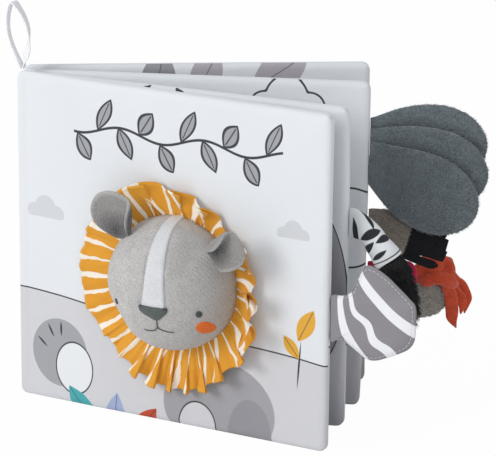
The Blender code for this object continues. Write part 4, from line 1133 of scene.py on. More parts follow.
# The mane is folded most over the head, down its right side and under its chin.
top = near(80.0, 42.0)
right_side = near(-14.0, 34.0)
foot_pleats = near(268.0, 44.0)
MANE_FOLDS = (16.0, 4.0, 1.0, 17.0)
MANE_FOLD_HEIGHTS = (0.5, 5.8, 7.6, 3.2)
MANE_STANDS = (0.5, 1.5, 5.0, 1.0)
MANE_SPARED = (0.0, 0.5, 0.72, 0.3)


def over_mane(everywhere, at_top, at_right, at_foot):
    """A value round the mane: what it is everywhere, with more at its top, right side and foot."""
    return everywhere + at_top * top + at_right * right_side + at_foot * foot_pleats


folds_per_turn = over_mane(*MANE_FOLDS) + 3.0 * np.sin(3 * turns + 0.8)
wound = np.cumsum(folds_per_turn[:, :-1], axis=1)
wound = np.concatenate([np.zeros((1, 1)), wound], axis=1)
phase = wound / wound[0, -1] * 2 * math.pi * round(float(wound[0, -1]) / MANE_STEPS)
phase = phase + 0.9 * np.sin(2 * turns + 1.0) + 0.5 * np.sin(5 * turns)
fold_height = over_mane(*MANE_FOLD_HEIGHTS) * (1 + 0.3 * np.sin(7 * turns + 2.0))
stand = over_mane(*MANE_STANDS)
rise = shares ** (1.2 + 0.7 * right_side)
folded = 1 + np.sin(phase + 0.5 * np.sin(phase))
lift = 1.1 + rise * (stand + fold_height * folded) + rise * 0.5 * np.sin(2.6 * phase)
gathers = np.sin(74 * turns + 4 * np.sin(3 * turns)) * (0.6 + 0.4 * np.sin(11 * turns))
lift = lift + (0.45 + 0.6 * foot_pleats + 0.9 * top) * gathers * np.exp(-shares * 2.2)
lift = np.maximum(lift, 0.9 + 0.2 * shares)
overhang = rise * fold_height * (np.cos(phase) + 0.5 * np.sin(2 * phase))
all_round = np.linspace(0.0, 360.0, MANE_STEPS + 1)
extra = np.interp(all_round, *np.array(MANE_EXTRA).T, period=360.0)
soft = np.ones(41) / 41
extra = np.convolve(np.concatenate([extra[-21:-1], extra, extra[1:21]]), soft, mode="valid")[None]
reach = MANE_INNER + shares * (MANE_OUTER - MANE_INNER + extra)
reach = reach + shares**2 * (np.sin(phase + 1.0) * (fold_height / 4 + 0.3) + 0.35 * np.sin(41 * turns))
swung = turns + overhang / reach
across = reach * np.cos(swung) + shares * MANE_SHIFT[0]
up = reach * np.sin(swung) + shares * MANE_SHIFT[1]
outer = on_head(across[-1], up[-1], lift[-1])
lengths = np.linalg.norm(np.diff(outer, axis=0), axis=1) * (1 - over_mane(*MANE_SPARED)[0, :-1])
arc = np.concatenate([[0.0], np.cumsum(lengths)])[None]
stripes_round = round(float(arc[0, -1]) / STRIPE_PITCH)
mane_dye = Dye("striped mane cotton", 0.85, 0.08)
mane_place = mane_dye.parts(mane_dye.flat_cloth())
wander = mane_dye.lumps(12.0) - 0.5
bands = (mane_place[0] + wander * 0.45 + mane_place[1] * 0.01).math("FRACT")
band_half = (mane_dye.lumps(16.0) - 0.5).scaled(0.3, 0.125)
white = (abs(bands - 0.5) - band_half).below(0.0, 0.04)
mane_tone = mane_dye.mix(mane_dye.lumps(22.0), shade(230, 166, 58), shade(212, 143, 42))
mane_cotton = mane_dye.finish(
    mane_dye.mix(white, mane_tone, shade(243, 236, 222)),
    mane_dye.lumps(0.6, 1.0) * 0.7 + mane_dye.lumps(3.0) * 0.6,
    0.2,
)
hem = 1 + 0.7 * np.exp(-(((1 - shares) * MANE_WIDTH - 1.2) ** 2))
thick = MANE_HALF_THICKNESS * hem * np.sqrt(np.clip((1 - shares) / 0.03, 0.0, 1.0))
patches = []
flat = np.stack(np.broadcast_arrays(arc / arc[0, -1] * stripes_round, shares * MANE_WIDTH), axis=-1)
for face in (1, -1):
    patches.append((on_head(across, up, lift + face * thick), flat, 0))
inner_edge = np.stack([patches[0][0][0], patches[1][0][0]])
patches.append((inner_edge, np.stack([flat[0], flat[0]]), 0))
mane = sew("lion_mane_ruffle", patches, [mane_cotton], "front_cover")
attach(mane, "front_cover")
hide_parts("lion_mane")


# Tails and other limbs
# A limb is a sock of plush or printed cloth, stuffed, flattened at its open end and caught in the
# seam of a fore edge, on which it turns.
LIMB_AXIS = BOARD_ROOT + BOARD_WIDTH + 0.3 + 2.5


def limb_shape(root, stations, rows, columns, power=2.2, seed=0, fold=0.0, lumps=7.0):
    """A stuffed limb. A station holds its place across and up from the root, its depth out of the
    board, its half width and its half depth."""
    path = smooth_path(stations, rows)
    centres = np.stack([LIMB_AXIS + path[:, 0], BOARD_MIDDLE - path[:, 2], root + path[:, 1]], axis=-1)
    along = directions(centres)
    depth = np.tile((0.0, 1.0, 0.0), (rows, 1))
    aside = np.cross(depth, along)
    aside /= np.linalg.norm(aside, axis=1, keepdims=True)
    depth = np.cross(along, aside)
    points, places = swept(centres, aside, depth, path[:, 3], path[:, 4], columns, power)
    if fold:
        middle = np.concatenate([centres[:1], centres, centres[-1:]])[:, None]
        away = points - middle
        points = middle + away * (1 + fold * rumple(points, lumps, seed))[..., None]
    return points, places


def limb(name, body, board, root, stations, cloth, node, slot, fill, **shape):
    points, places = limb_shape(root, stations, shape.pop("rows", 90), shape.pop("columns", 72), **shape)
    piece = sew(name, [(points, places, 0)], [cloth], board)
    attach(piece, body)
    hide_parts(node)
    return piece


for node in ("white_tail_stuffing", "taupe_tail_stuffing", "greige_tail_stuffing", "flap_wadding"):
    frame["nodes"][node].data.materials.clear()
    frame["nodes"][node].data.materials.append(wadding)


# White tail
# A slim sock of white cloth printed with dark patches, hemmed round its open end, from which a tuft
# of long black plush hangs.
WHITE_TAIL_ROOT = 128.0
tail_dye = Dye("patched white cloth", 0.88, 0.05)
tail_spot = tail_dye.parts(tail_dye.flat_cloth())[:2]
tail_tone = tail_dye.mix(tail_dye.lumps(20.0), shade(234, 236, 239), shade(224, 227, 231))
TAIL_PATCHES = (
    (7.0, 42.0, 62.0, 10.0, 2.6), (8.0, 26.0, 40.0, 7.0, 1.8), (14.0, 34.0, 100.0, 9.0, 2.4),
    (19.5, 43.0, 80.0, 8.0, 2.2), (20.0, 27.0, 96.0, 8.0, 2.0), (26.0, 38.0, 84.0, 6.0, 1.5),
    (12.0, 8.0, 80.0, 9.0, 2.4), (20.0, 10.0, 100.0, 9.0, 2.2), (26.0, 16.0, 90.0, 7.0, 1.6),
)
for patch_along, patch_around, slope, half_length, half_width in TAIL_PATCHES:
    shape = leaf_shape(tail_spot, patch_along, patch_around, slope, half_length, half_width)[0]
    tail_tone = tail_dye.mix(shape.below(0.0, 0.4), tail_tone, shade(48, 50, 54))
tail_tone = tail_dye.mix(abs(tail_spot[0] - 29.6).below(0.35), tail_tone, shade(70, 72, 76))
tail_cloth = tail_dye.finish(tail_tone, tail_dye.lumps(0.6, 1.0) * 0.6 + tail_dye.lumps(4.0) * 1.4, 0.3)
WHITE_TAIL = (
    (-2.2, 0.4, 0.0, 8.8, 1.4), (0.4, 0.4, 0.0, 8.8, 2.6), (4.0, -0.4, 0.4, 8.0, 4.2),
    (8.4, -2.9, 0.8, 6.9, 5.2), (12.6, -7.2, 0.8, 6.8, 6.0), (15.8, -11.0, 0.6, 7.3, 6.4),
    (18.9, -15.2, 0.3, 8.2, 6.6), (21.0, -18.6, 0.0, 8.8, 6.7), (21.5, -19.2, 0.0, 8.0, 5.9),
)
limb(
    "white_tail_sock", "white_tail", "leaf_1", WHITE_TAIL_ROOT, WHITE_TAIL, tail_cloth,
    "white_tail_cloth", "printed_cloth", 0.6, fold=0.1, seed=4,
)
black_plush = plain_cloth(
    "long black plush", 0.9, 0.1, 1.5, shade(22, 22, 24), shade(40, 40, 43), grain=0.6, depth=0.6
)
TUFT = (
    (19.5, -18.5, 0.0, 6.5, 4.4), (21.0, -21.0, 0.0, 8.0, 6.0), (23.4, -25.4, 0.0, 9.0, 6.8),
    (25.6, -31.0, 0.0, 9.2, 7.0), (27.4, -37.0, 0.0, 9.2, 7.0), (29.2, -44.0, 0.0, 8.4, 6.2),
    (30.6, -50.0, 0.0, 6.8, 5.0), (31.6, -54.6, 0.0, 4.2, 3.4), (32.0, -57.0, 0.0, 1.4, 1.2),
)
tuft_points, tuft_places = limb_shape(WHITE_TAIL_ROOT, TUFT, 60, 48, fold=0.1, seed=6, lumps=5.0)
tuft = sew("tuft_core", [(tuft_points, tuft_places, 0)], [black_plush], "leaf_1")


# Pointed strands stand on a mesh, combed to one side. The strands of a tuft keep the mesh as well.
STRAND_SOCKETS = (
    ("Density", "Float"), ("Strand length", "Float"), ("Thickness", "Float"),
    ("Comb", "Vector"), ("Seed", "Int"), ("Plush", "Material"),
)
STRAND_NODES = {
    "roots": ("GeometryNodeDistributePointsOnFaces", {}, {}),
    "combed": ("ShaderNodeVectorMath", {}, {}),
    "turned": ("FunctionNodeAlignRotationToVector", {"axis": "Z"}, {}),
    "strand": ("GeometryNodeMeshCone", {}, {"Vertices": 4, "Radius Bottom": 1.0, "Depth": 1.0}),
    "longer": (
        "FunctionNodeRandomValue", {"data_type": "FLOAT_VECTOR"}, {0: (0.7, 0.7, 0.6), 1: (1.2, 1.2, 1.3)},
    ),
    "size": ("ShaderNodeCombineXYZ", {}, {}),
    "scaled": ("ShaderNodeVectorMath", {"operation": "MULTIPLY"}, {}),
    "planted": ("GeometryNodeInstanceOnPoints", {}, {}),
    "solid": ("GeometryNodeRealizeInstances", {}, {}),
    "joined": ("GeometryNodeJoinGeometry", {}, {}),
    "paint": ("GeometryNodeSetMaterial", {}, {}),
}
STRAND_LINKS = (
    ("given", "Geometry", "roots", "Mesh"),
    ("given", "Density", "roots", "Density"),
    ("given", "Seed", "roots", "Seed"),
    ("given", "Seed", "longer", "Seed"),
    ("roots", "Normal", "combed", 0),
    ("given", "Comb", "combed", 1),
    ("combed", "Vector", "turned", "Vector"),
    ("given", "Thickness", "size", "X"),
    ("given", "Thickness", "size", "Y"),
    ("given", "Strand length", "size", "Z"),
    ("size", "Vector", "scaled", 0),
    ("longer", "Value", "scaled", 1),
    ("roots", "Points", "planted", "Points"),
    ("turned", "Rotation", "planted", "Rotation"),
    ("strand", "Mesh", "planted", "Instance"),
    ("scaled", "Vector", "planted", "Scale"),
    ("planted", "Instances", "solid", "Geometry"),
    ("solid", "Geometry", "joined", "Geometry"),
    ("joined", "Geometry", "paint", "Geometry"),
    ("given", "Plush", "paint", "Material"),
    ("paint", "Geometry", "made", "Geometry"),
)
MESH_KEPT = ("given", "Geometry", "joined", "Geometry")
strands = node_tree("strands", STRAND_SOCKETS, STRAND_NODES, (*STRAND_LINKS, MESH_KEPT))
nap_strands = node_tree("nap strands", STRAND_SOCKETS, STRAND_NODES, STRAND_LINKS)


def strand_sizes(density, length, thickness, comb, seed, plush):
    """What the strands are given: strands per mm2, sizes in mm, a lean, a seed and a material."""
    return {
        "Density": density / MM**2,
        "Strand length": length * MM,
        "Thickness": thickness * MM,
        "Comb": comb,
        "Seed": seed,
        "Plush": plush,
    }


tuft_sizes = strand_sizes(1.1, 4.6, 0.36, (0.5, 0.0, -1.4), 5, black_plush)
tuft = made_by_nodes("white_tail_plush_tuft", tuft, strands, tuft_sizes)
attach(tuft, "white_tail")
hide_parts("white_tail_tuft")
SOCK_NAP = (1.2, 1.0, 0.14, (0.8, 0.0, -0.4))
SOCK_BARE = 5.7


def short_nap(piece, body, slot, density, length, thickness, comb, bare):
    """Short pile over a plush piece, in its own material. The cloth that lies nearer than bare to the
    sewn root has none, so that the piece clears its board when it turns."""
    source = put(f"{piece.name}_nap_ground", piece.data.copy())
    ground = bmesh.new()
    ground.from_mesh(source.data)
    cloth = ground.loops.layers.uv["cloth"]
    near_root = [face for face in ground.faces if min(loop[cloth].uv.x for loop in face.loops) < bare]
    bmesh.ops.delete(ground, geom=near_root, context="FACES")
    ground.to_mesh(source.data)
    ground.free()
    sizes = strand_sizes(density, length, thickness, comb, 7, piece.data.materials[0])
    nap = made_by_nodes(f"{piece.name}_nap", source, nap_strands, sizes)
    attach(nap, body)


# Taupe tail
# A short fat sock of taupe plush with a hank of black felt, cut into pointed strips, sewn in its end.
TAUPE_TAIL_ROOT = 109.0
taupe_plush = short_plush("taupe plush", shade(144, 135, 124), shade(112, 104, 95), 0.4, 1.5, 0.8, 0.9)
TAUPE_TAIL = (
    (-2.2, 0.0, 0.0, 12.0, 1.4), (0.4, 0.0, 0.0, 12.5, 2.8), (4.0, -0.3, 0.0, 12.6, 4.8),
    (8.0, -1.3, 0.0, 12.4, 6.2), (13.0, -3.0, 0.0, 11.8, 7.0), (17.0, -4.5, 0.0, 11.2, 6.8),
    (19.6, -5.5, 0.0, 10.3, 6.2), (20.6, -5.8, 0.0, 7.6, 4.6),
)
taupe_sock = limb(
    "taupe_tail_sock", "taupe_tail", "leaf_2", TAUPE_TAIL_ROOT, TAUPE_TAIL, taupe_plush,
    "taupe_tail_plush", "taupe_plush", 0.8, fold=0.05, seed=9,
)
short_nap(taupe_sock, "taupe_tail", "taupe_plush", *SOCK_NAP, SOCK_BARE)
black_felt = plain_cloth(
    "black felt", 0.95, 0.05, 2.0, shade(20, 20, 22), shade(34, 34, 37), grain=0.5, depth=0.25
)
FELT_STRIPS = (
    (((15.0, 3.5), (25.5, 2.3), (33.7, 1.5), (40.0, 0.6), (42.7, -1.7)), 1.5, 0.5, -2.4),
    (((15.0, -1.0), (24.5, -2.6), (32.7, -5.2), (39.7, -7.3), (43.8, -8.3)), 4.9, 4.2, 0.8),
    (((18.0, -1.5), (30.0, -2.6), (37.0, -3.4), (40.4, -3.2), (43.6, -1.6)), 2.3, 0.3, -1.4),
    (((15.0, -8.0), (23.5, -10.5), (31.7, -11.4), (38.7, -13.5), (42.8, -15.1)), 4.2, 3.4, 0.0),
    (((14.0, -12.0), (23.1, -16.1), (29.6, -18.2), (35.4, -19.7), (38.9, -20.2)), 2.6, 0.7, 1.6),
)
strips = []
for route, half_width, end_half, depth in FELT_STRIPS:
    stations = [(x, z, depth * index / 4, half_width, 0.75) for index, (x, z) in enumerate(route)]
    stations[-1] = (*stations[-1][:3], end_half, 0.6)
    strips.append((*limb_shape(TAUPE_TAIL_ROOT, stations, 40, 20, power=4.0, fold=0.08, seed=depth), 0))
felt = sew("taupe_tail_felt_strips", strips, [black_felt], "leaf_2", weld=0.01)
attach(felt, "taupe_tail")
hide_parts("taupe_tail_felt_tuft")


# Crimson tab
# A small padded tab of plain crimson cloth, mostly hidden behind the flap.
TAB_ROOT = 80.5
crimson = plain_cloth(
    "crimson cloth", 0.85, 0.05, 6.0, shade(196, 34, 78), shade(168, 24, 62), grain=0.6, depth=0.2
)
TAB = (
    (-2.2, 0.0, 0.0, 8.4, 1.2), (0.4, 0.0, 0.0, 9.0, 2.4), (5.0, 0.0, 0.0, 10.0, 3.4),
    (12.0, 0.0, 0.0, 10.4, 3.7), (20.0, 0.0, 0.0, 10.0, 3.5), (24.0, 0.0, 0.0, 8.4, 3.0),
    (26.2, 0.0, 0.0, 5.4, 2.0), (27.0, 0.0, 0.0, 2.0, 0.9),
)
limb(
    "crimson_padded_tab", "crimson_tab", "leaf_2", TAB_ROOT, TAB, crimson,
    "crimson_tab", "crimson_cloth", 0.5, fold=0.04, seed=3,
)


# Greige tail
# A stuffed sock of greige plush on the back cover. Strips of rust-coloured fleece are tied round its
# end in a knot, and their pointed ends hang down.
GREIGE_ROOT = 53.0
greige_plush = short_plush("greige plush", shade(164, 159, 152), shade(132, 127, 121), 0.4, 1.5, 0.8, 0.9)
GREIGE_TAIL = (
    (-2.2, 0.0, 0.0, 12.4, 1.4), (0.4, 0.0, 0.0, 13.0, 3.0), (5.0, 0.0, 0.0, 13.6, 6.0),
    (10.0, 0.0, 0.0, 14.0, 7.4), (18.0, 0.0, 0.0, 14.3, 7.9), (26.0, 0.2, 0.0, 14.0, 8.0),
    (34.0, 0.0, 0.0, 13.4, 7.9), (40.0, -0.8, 0.0, 12.2, 7.4), (44.2, -2.2, 0.0, 9.8, 6.2),
    (46.8, -3.6, 0.0, 5.4, 3.6),
)
greige_sock = limb(
    "greige_tail_sock", "greige_tail", "back_cover", GREIGE_ROOT, GREIGE_TAIL, greige_plush,
    "greige_tail_plush", "greige_plush", 0.8, fold=0.04, seed=13,
)
short_nap(greige_sock, "greige_tail", "greige_plush", *SOCK_NAP, SOCK_BARE)
fleece_dye = Dye("rust fleece", 0.95, 0.3)
rust_fleece = fleece_dye.finish(
    fleece_dye.mix(fleece_dye.lumps(4.0, 3.0), shade(226, 92, 54), shade(184, 60, 34)),
    fleece_dye.lumps(0.8) + fleece_dye.lumps(3.0),
    0.9,
)
KNOT_BANDS = (
    (
        (24.9, 15.7, 4.0), (30.6, 18.7, 5.2), (37.3, 22.0, 5.4), (42.2, 20.6, 4.4),
        (46.0, 15.4, 3.4), (53.3, 10.3, 3.0),
    ),
    (
        (30.0, 14.6, -4.0), (34.0, 19.6, -3.6), (38.0, 23.0, 0.0), (43.0, 22.4, 4.6),
        (46.6, 17.6, 7.0), (46.0, 12.0, 7.0),
    ),
    (
        (27.0, 14.0, 3.4), (33.0, 12.6, 7.6), (38.0, 14.2, 9.2), (43.0, 13.6, 9.4),
        (48.0, 10.6, 7.6), (52.2, 7.7, 5.0),
    ),
    (
        (37.0, 14.0, 6.0), (38.0, 20.0, 8.0), (42.0, 23.0, 6.0), (46.0, 20.0, 2.0),
        (47.0, 14.0, -1.0), (45.0, 9.0, -3.0),
    ),
)
KNOT_HALF_WIDTH = 4.3
KNOT_HALF_DEPTH = 2.6
bands = []
for number, route in enumerate(KNOT_BANDS):
    stations = [(x, z, depth, KNOT_HALF_WIDTH, KNOT_HALF_DEPTH) for x, z, depth in route]
    stations[0] = (*stations[0][:3], KNOT_HALF_WIDTH * 0.5, KNOT_HALF_DEPTH * 0.6)
    stations[-1] = (*stations[-1][:3], KNOT_HALF_WIDTH * 0.4, KNOT_HALF_DEPTH * 0.5)
    band = limb_shape(GREIGE_ROOT, stations, 50, 26, power=3.0, fold=0.16, seed=number + 3, lumps=4.0)
    bands.append((*band, 0))
knot = sew("rust_fleece_knot", bands, [rust_fleece], "back_cover", weld=0.01)
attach(knot, "greige_tail")
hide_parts("rust_knot")
RUST_STRIPS = {
    "near": (
        (42.0, 16.0, 6.4), (45.5, 8.2, 7.4), (48.2, 1.4, 6.6), (49.3, -5.0, 6.0),
        (49.6, -12.4, 6.0), (52.0, -18.4, 6.4),
    ),
    "middle": (
        (44.0, 16.0, 2.0), (48.0, 6.5, 2.0), (51.7, 3.3, 1.4), (54.9, -1.2, 1.0), (56.2, -5.7, 1.0),
        (55.2, -11.4, 1.4),
    ),
    "far": (
        (43.0, 17.0, -2.6), (51.0, 9.0, -3.8), (55.3, 5.7, -4.4), (58.5, 0.6, -4.4),
        (59.8, -4.5, -4.2), (58.3, -12.7, -4.0),
    ),
}
for strip_name, route in RUST_STRIPS.items():
    widths = (2.4, 3.4, 3.9, 4.0, 3.3, 0.4) if strip_name == "near" else (2.0, 2.8, 3.1, 3.2, 2.6, 0.4)
    stations = [(x, z, depth, width, 1.5) for (x, z, depth), width in zip(route, widths)]
    limb(
        f"rust_strip_{strip_name}_fleece", "greige_tail", "back_cover", GREIGE_ROOT, stations, rust_fleece,
        f"rust_strip_{strip_name}", "rust_fleece", None,
        power=3.4, fold=0.12, seed=stations[1][2], lumps=5.0, rows=60, columns=30,
    )


# Slate ear
# Three long lobes of slate plush, each stuffed and seamed round its face, lie over each other like
# petals and are caught together in the fore edge of leaf 2.
LOBE_AXIS = BOARD_ROOT + BOARD_WIDTH + 4.3
LOBES = {
    "front": {"layer": -1, "root": 152.0, "slope": -26.5, "length": 67.0},
    "middle": {"layer": 0, "root": 158.5, "slope": -15.5, "length": 68.0},
    "back": {"layer": 1, "root": 164.0, "slope": -6.0, "length": 65.0},
}
LOBE_HALF_WIDTH = 22.5
LOBE_ROOT_HALF_WIDTH = 11.5
LOBE_WIDEST = 0.6
LOBE_TIP_LOSS = 0.84
LOBE_ROOT_SPACING = 1.1
LOBE_SPACING = 8.8
LOBE_SPREAD_RUN = 24.0
LOBE_GAP = 0.5
LOBE_SEAM_SHARE = 0.7
LOBE_ROOT_ACROSS = -4.0
LOBE_BARE = 4.5
slate_plush = short_plush(
    "slate plush", shade(112, 122, 127), shade(84, 94, 99), 0.6, rows=1.5, depth=0.9, nap_size=1.1
)


def lobe_spacing(across):
    share = np.clip((across - LOBE_ROOT_ACROSS) / (LOBE_SPREAD_RUN - LOBE_ROOT_ACROSS), 0.0, 1.0)
    return LOBE_ROOT_SPACING + (LOBE_SPACING - LOBE_ROOT_SPACING) * np.sin(share * math.pi / 2) ** 0.9


for lobe_name, lobe in LOBES.items():
    end_share = LOBE_WIDEST + (1 - LOBE_WIDEST) / math.sqrt(LOBE_TIP_LOSS)
    shares = end_share * np.sin(np.linspace(0.0, math.pi / 2, 90))
    past = np.maximum(shares - LOBE_WIDEST, 0.0) / (1 - LOBE_WIDEST)
    closing = np.sqrt(np.maximum(1 - LOBE_TIP_LOSS * past**2, 0.0))
    opening = np.sin(math.pi / 2 * np.minimum(shares / LOBE_WIDEST, 1.0))
    half_width = (LOBE_ROOT_HALF_WIDTH + (LOBE_HALF_WIDTH - LOBE_ROOT_HALF_WIDTH) * opening) * closing
    lean = math.radians(lobe["slope"])
    angles = np.linspace(0.0, 2 * math.pi, 97)
    side_share = np.cos(angles)
    depth_share = np.sign(np.sin(angles)) * np.abs(np.sin(angles)) ** 0.85
    reach = shares[:, None] * lobe["length"]
    aside = half_width[:, None] * side_share[None]
    x = LOBE_ROOT_ACROSS + reach * math.cos(lean) - aside * math.sin(lean)
    z = lobe["root"] + reach * math.sin(lean) + aside * math.cos(lean)
    x[0] = LOBE_ROOT_ACROSS
    spacing = lobe_spacing(x)
    half_depth = (spacing - LOBE_GAP) / 2 * closing[:, None]
    faced = (np.sin(angles) < 0) * opening[:, None]
    seam = np.exp(-(((side_share - LOBE_SEAM_SHARE) / 0.045) ** 2)) * faced
    valley = np.exp(-(((side_share - LOBE_SEAM_SHARE - 0.1) / 0.05) ** 2)) * faced
    y = lobe["layer"] * spacing + (half_depth + 0.35 * seam - 0.5 * valley) * depth_share[None]
    points = np.stack([LOBE_AXIS + x, BOARD_MIDDLE + y, z], axis=-1)
    lump = 0.32 * rumple(points, 6.0, lobe["layer"] + 20) * opening[:, None]
    points[..., 1] += lump * np.sin(angles)
    points[..., 2] += lump * np.cos(angles)
    ends = [np.repeat(points[[end]].mean(axis=1, keepdims=True), 97, axis=1) for end in (0, -1)]
    points = np.concatenate([ends[0], points, ends[1]])
    flat = points[..., [0, 2]]
    piece = sew(f"slate_ear_{lobe_name}_plush", [(points, flat, 0)], [slate_plush], "leaf_2")
    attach(piece, "slate_ear")
    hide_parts(f"slate_ear_{lobe_name}_lobe")
    short_nap(piece, "slate_ear", "slate_plush", 1.1, 1.2, 0.15, (0.7, 0.0, -0.5), LOBE_AXIS + LOBE_BARE)


# Striped flap
# A five-sided flap of grey cloth with white wavy stripes in front and black plush behind, lightly
# padded, topstitched beside its edge and caught in the fore edge of the front cover.
FLAP_FOOT = 59.0
FLAP_MIDDLE = (24.0, 26.0)
FLAP_RISE = 2.9
FLAP_PUFF_POWER = 4.5
FLAP_BEND = 1.1
FLAP_SEAM_SHARE = 0.925
FLAP_OUTLINE = (
    (-2.3, 7.4), (-2.3, 20.0), (-2.3, 34.0), (5.0, 35.6), (10.0, 38.4), (13.6, 45.6), (17.0, 53.2),
    (19.8, 55.4), (24.0, 55.0), (31.6, 51.0), (37.6, 46.6), (46.6, 39.6), (49.4, 36.8),
    (50.2, 31.0), (50.0, 24.0), (49.4, 16.6), (46.4, 11.4), (41.6, 8.0), (32.0, 3.2), (26.0, 0.9),
    (20.6, 0.9), (15.0, 4.0), (8.0, 8.0), (2.0, 8.6),
)
flap_dye = Dye("striped flap cloth", 0.86, 0.06)
flap_x, flap_z, _ = flap_dye.parts(flap_dye.flat_cloth())
flap_tone = flap_dye.mix(flap_dye.lumps(14.0), shade(145, 142, 146), shade(133, 130, 135))
FLAP_STRIPES = (
    (16.7, 47.5, -38.2, 41.2, 2.0, 0.0, 2.8, 0.012),
    (9.6, 37.0, -49.2, 41.2, 0.6, 1.3, 1.3, 0.05),
    (4.1, 34.9, -68.5, 34.9, 3.2, 0.0, 1.8, 0.05),
)
for start_across, start_up, slope, run, sag, sway, half_width, widening in FLAP_STRIPES:
    lean = math.radians(slope)
    cosine, sine = math.cos(lean), math.sin(lean)
    along_stripe = flap_x.scaled(cosine, flap_z.scaled(sine, -start_across * cosine - start_up * sine))
    beside = flap_x.scaled(-sine, flap_z.scaled(cosine, start_across * sine - start_up * cosine))
    curve = (along_stripe * (math.pi / run)).math("SINE") * -sag
    curve = curve + (along_stripe * (2 * math.pi / 19.0)).math("COSINE").scaled(sway, -sway)
    stripe = (abs(beside - curve) - along_stripe.scaled(widening, half_width)).below(0.0, 0.35)
    flap_tone = flap_dye.mix(stripe, flap_tone, shade(234, 234, 238))
flap_cloth = flap_dye.finish(flap_tone, flap_dye.lumps(0.6, 1.0) * 0.6 + flap_dye.lumps(4.0), 0.2)
outline = closed_curve(FLAP_OUTLINE, 192)


def flap_places(share):
    """Places at this share of the way from the flap's middle to its outline."""
    across = FLAP_MIDDLE[0] + share * (outline[:, 0] - FLAP_MIDDLE[0])
    return across, FLAP_MIDDLE[1] + share * (outline[:, 1] - FLAP_MIDDLE[1])


def flap_squeeze(across):
    return np.clip((across + 2.6) / 7.0, 0.1, 1.0)


def flap_puff(share, across):
    """Half of the flap's thickness, squeezed where it is caught in the seam."""
    return FLAP_RISE * (1 - share**FLAP_PUFF_POWER) * flap_squeeze(across)


def flap_bend(across, up):
    """Depth of the flap's middle, which waves a little past its seam."""
    wave = FLAP_BEND * np.sin(across / 15.0) * np.sin((up - 10.0) / 18.0) * (across > 0)
    return wave * np.clip(across / 12.0, 0.0, 1.0)


def on_flap(across, up, depth):
    return np.stack([LIMB_AXIS + across, BOARD_MIDDLE + depth, FLAP_FOOT + up], axis=-1)


shares = np.linspace(0.0, 1.0, 30)[:, None] ** 0.8
across, up = flap_places(shares)
rim = 0.5 * (1 - shares**16) ** 0.5
groove = 0.3 * np.exp(-(((shares - FLAP_SEAM_SHARE) / 0.012) ** 2))
patches = []
for slot, face in enumerate((-1, 1)):
    plain = np.stack([across, np.zeros_like(across), up], axis=-1)
    ripple = 0.3 * rumple(plain, 9.0, 30 + face) * (1 - shares**6)
    half = flap_puff(shares, across) + (ripple - groove) * flap_squeeze(across) + rim
    points = on_flap(across, up, flap_bend(across, up) + face * half)
    patches.append((points, np.stack([across, up], axis=-1), slot))
flap = sew("striped_flap_pad", patches, [flap_cloth, black_plush], "front_cover")
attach(flap, "striped_flap")
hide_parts("flap_striped_cloth", "flap_lining")
across, up = flap_places(FLAP_SEAM_SHARE)
row = on_flap(across, up, flap_bend(across, up) - flap_puff(FLAP_SEAM_SHARE, across) - 0.5)
flap_seam = stitch_rows(
    "striped_flap_topstitch", [row[across > 2.0]], "front_cover", white_thread, 2.6, 1.9, 0.34
)
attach(flap_seam, "striped_flap")


# Table, light and camera
# The book stands on a white table in soft light from the left, seen from a little above.
floor_mesh = bpy.data.meshes.new("table")
FLOOR_HALF = 6.0
FLOOR_DROP = 0.0004
corners = [(x * FLOOR_HALF, y * FLOOR_HALF, -FLOOR_DROP) for x, y in ((-1, -1), (1, -1), (1, 1), (-1, 1))]
floor_mesh.from_pydata(corners, [], [(0, 1, 2, 3)])
table = put("table", floor_mesh)
table_dye = Dye("white table", 0.9)
table_tree = table_dye.tree
table_dye.shader.inputs["Base Color"].default_value = (0.9, 0.9, 0.9, 1.0)
rays = table_tree.nodes.new("ShaderNodeLightPath")
bright = table_dye.node("ShaderNodeEmission", {"Color": (1.0, 1.0, 1.0, 1.0), "Strength": 1.0})
shown = Sum(table_dye, rays.outputs["Is Camera Ray"]).scaled(0.97, 0.0)
shown = shown + Sum(table_dye, rays.outputs["Is Transmission Ray"]) * 0.82
blended = table_dye.node("ShaderNodeMixShader", {0: shown, 2: bright})
table_tree.links.new(table_dye.shader.outputs[0], blended.socket.node.inputs[1])
table_tree.links.new(blended.socket, table_tree.nodes["Material Output"].inputs["Surface"])
floor_mesh.materials.append(table_dye.material)

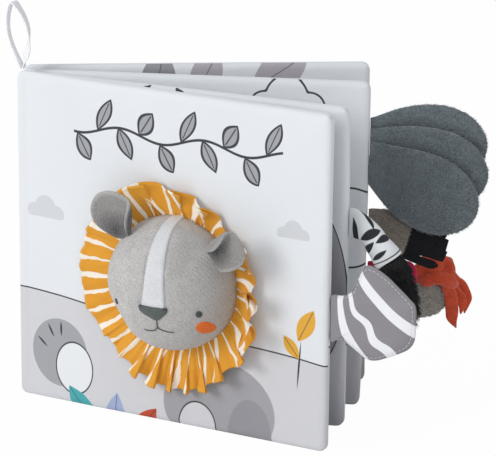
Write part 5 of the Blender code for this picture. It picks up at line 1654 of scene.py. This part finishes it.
world = bpy.data.worlds.new("studio")
bpy.context.scene.world = world
world.use_nodes = True
sky = world.node_tree
sky_rays = sky.nodes.new("ShaderNodeLightPath")
backdrop = sky.nodes.new("ShaderNodeBackground")
backdrop.inputs["Color"].default_value = (1.0, 1.0, 1.0, 1.0)
backdrop.inputs["Strength"].default_value = 1.0
fill_light = sky.nodes["Background"]
fill_light.inputs["Color"].default_value = (0.97, 0.985, 1.0, 1.0)
fill_light.inputs["Strength"].default_value = 0.66
choice = sky.nodes.new("ShaderNodeMixShader")
sky.links.new(sky_rays.outputs["Is Camera Ray"], choice.inputs[0])
sky.links.new(fill_light.outputs[0], choice.inputs[1])
sky.links.new(backdrop.outputs[0], choice.inputs[2])
sky.links.new(choice.outputs[0], sky.nodes["World Output"].inputs["Surface"])

LAMPS = (
    ("key lamp", (-2.0, -1.3, 1.15), 1.0, 27.0),
    ("front lamp", (0.1, -2.2, 0.9), 1.5, 4.0),
)
for lamp_name, place, size, power in LAMPS:
    light = bpy.data.lights.new(lamp_name, "AREA")
    light.shape = "SQUARE"
    light.size = size
    light.energy = power
    lamp = put(lamp_name, light)
    lamp.location = place
    lamp.rotation_euler = (Vector((0.0, 0.0, 0.1)) - Vector(place)).to_track_quat("-Z", "Y").to_euler()

LENS = 214.7
EYE = (-0.0868, -1.66929, 0.62881)
YAW, PITCH, ROLL = math.radians(3.98), math.radians(17.63), math.radians(-0.57)
forward = Vector((math.sin(YAW) * math.cos(PITCH), math.cos(YAW) * math.cos(PITCH), -math.sin(PITCH)))
level = Vector((math.cos(YAW), -math.sin(YAW), 0.0))
down = forward.cross(level)
right = math.cos(ROLL) * level + math.sin(ROLL) * down
down = math.cos(ROLL) * down - math.sin(ROLL) * level
lens = bpy.data.cameras.new("camera")
lens.lens = LENS
lens.sensor_width = 36.0
camera = put("camera", lens)
camera.matrix_world = Matrix.Translation(EYE) @ Matrix((right, -down, -forward)).transposed().to_4x4()
bpy.context.scene.camera = camera
bpy.context.scene.view_settings.view_transform = "Standard"
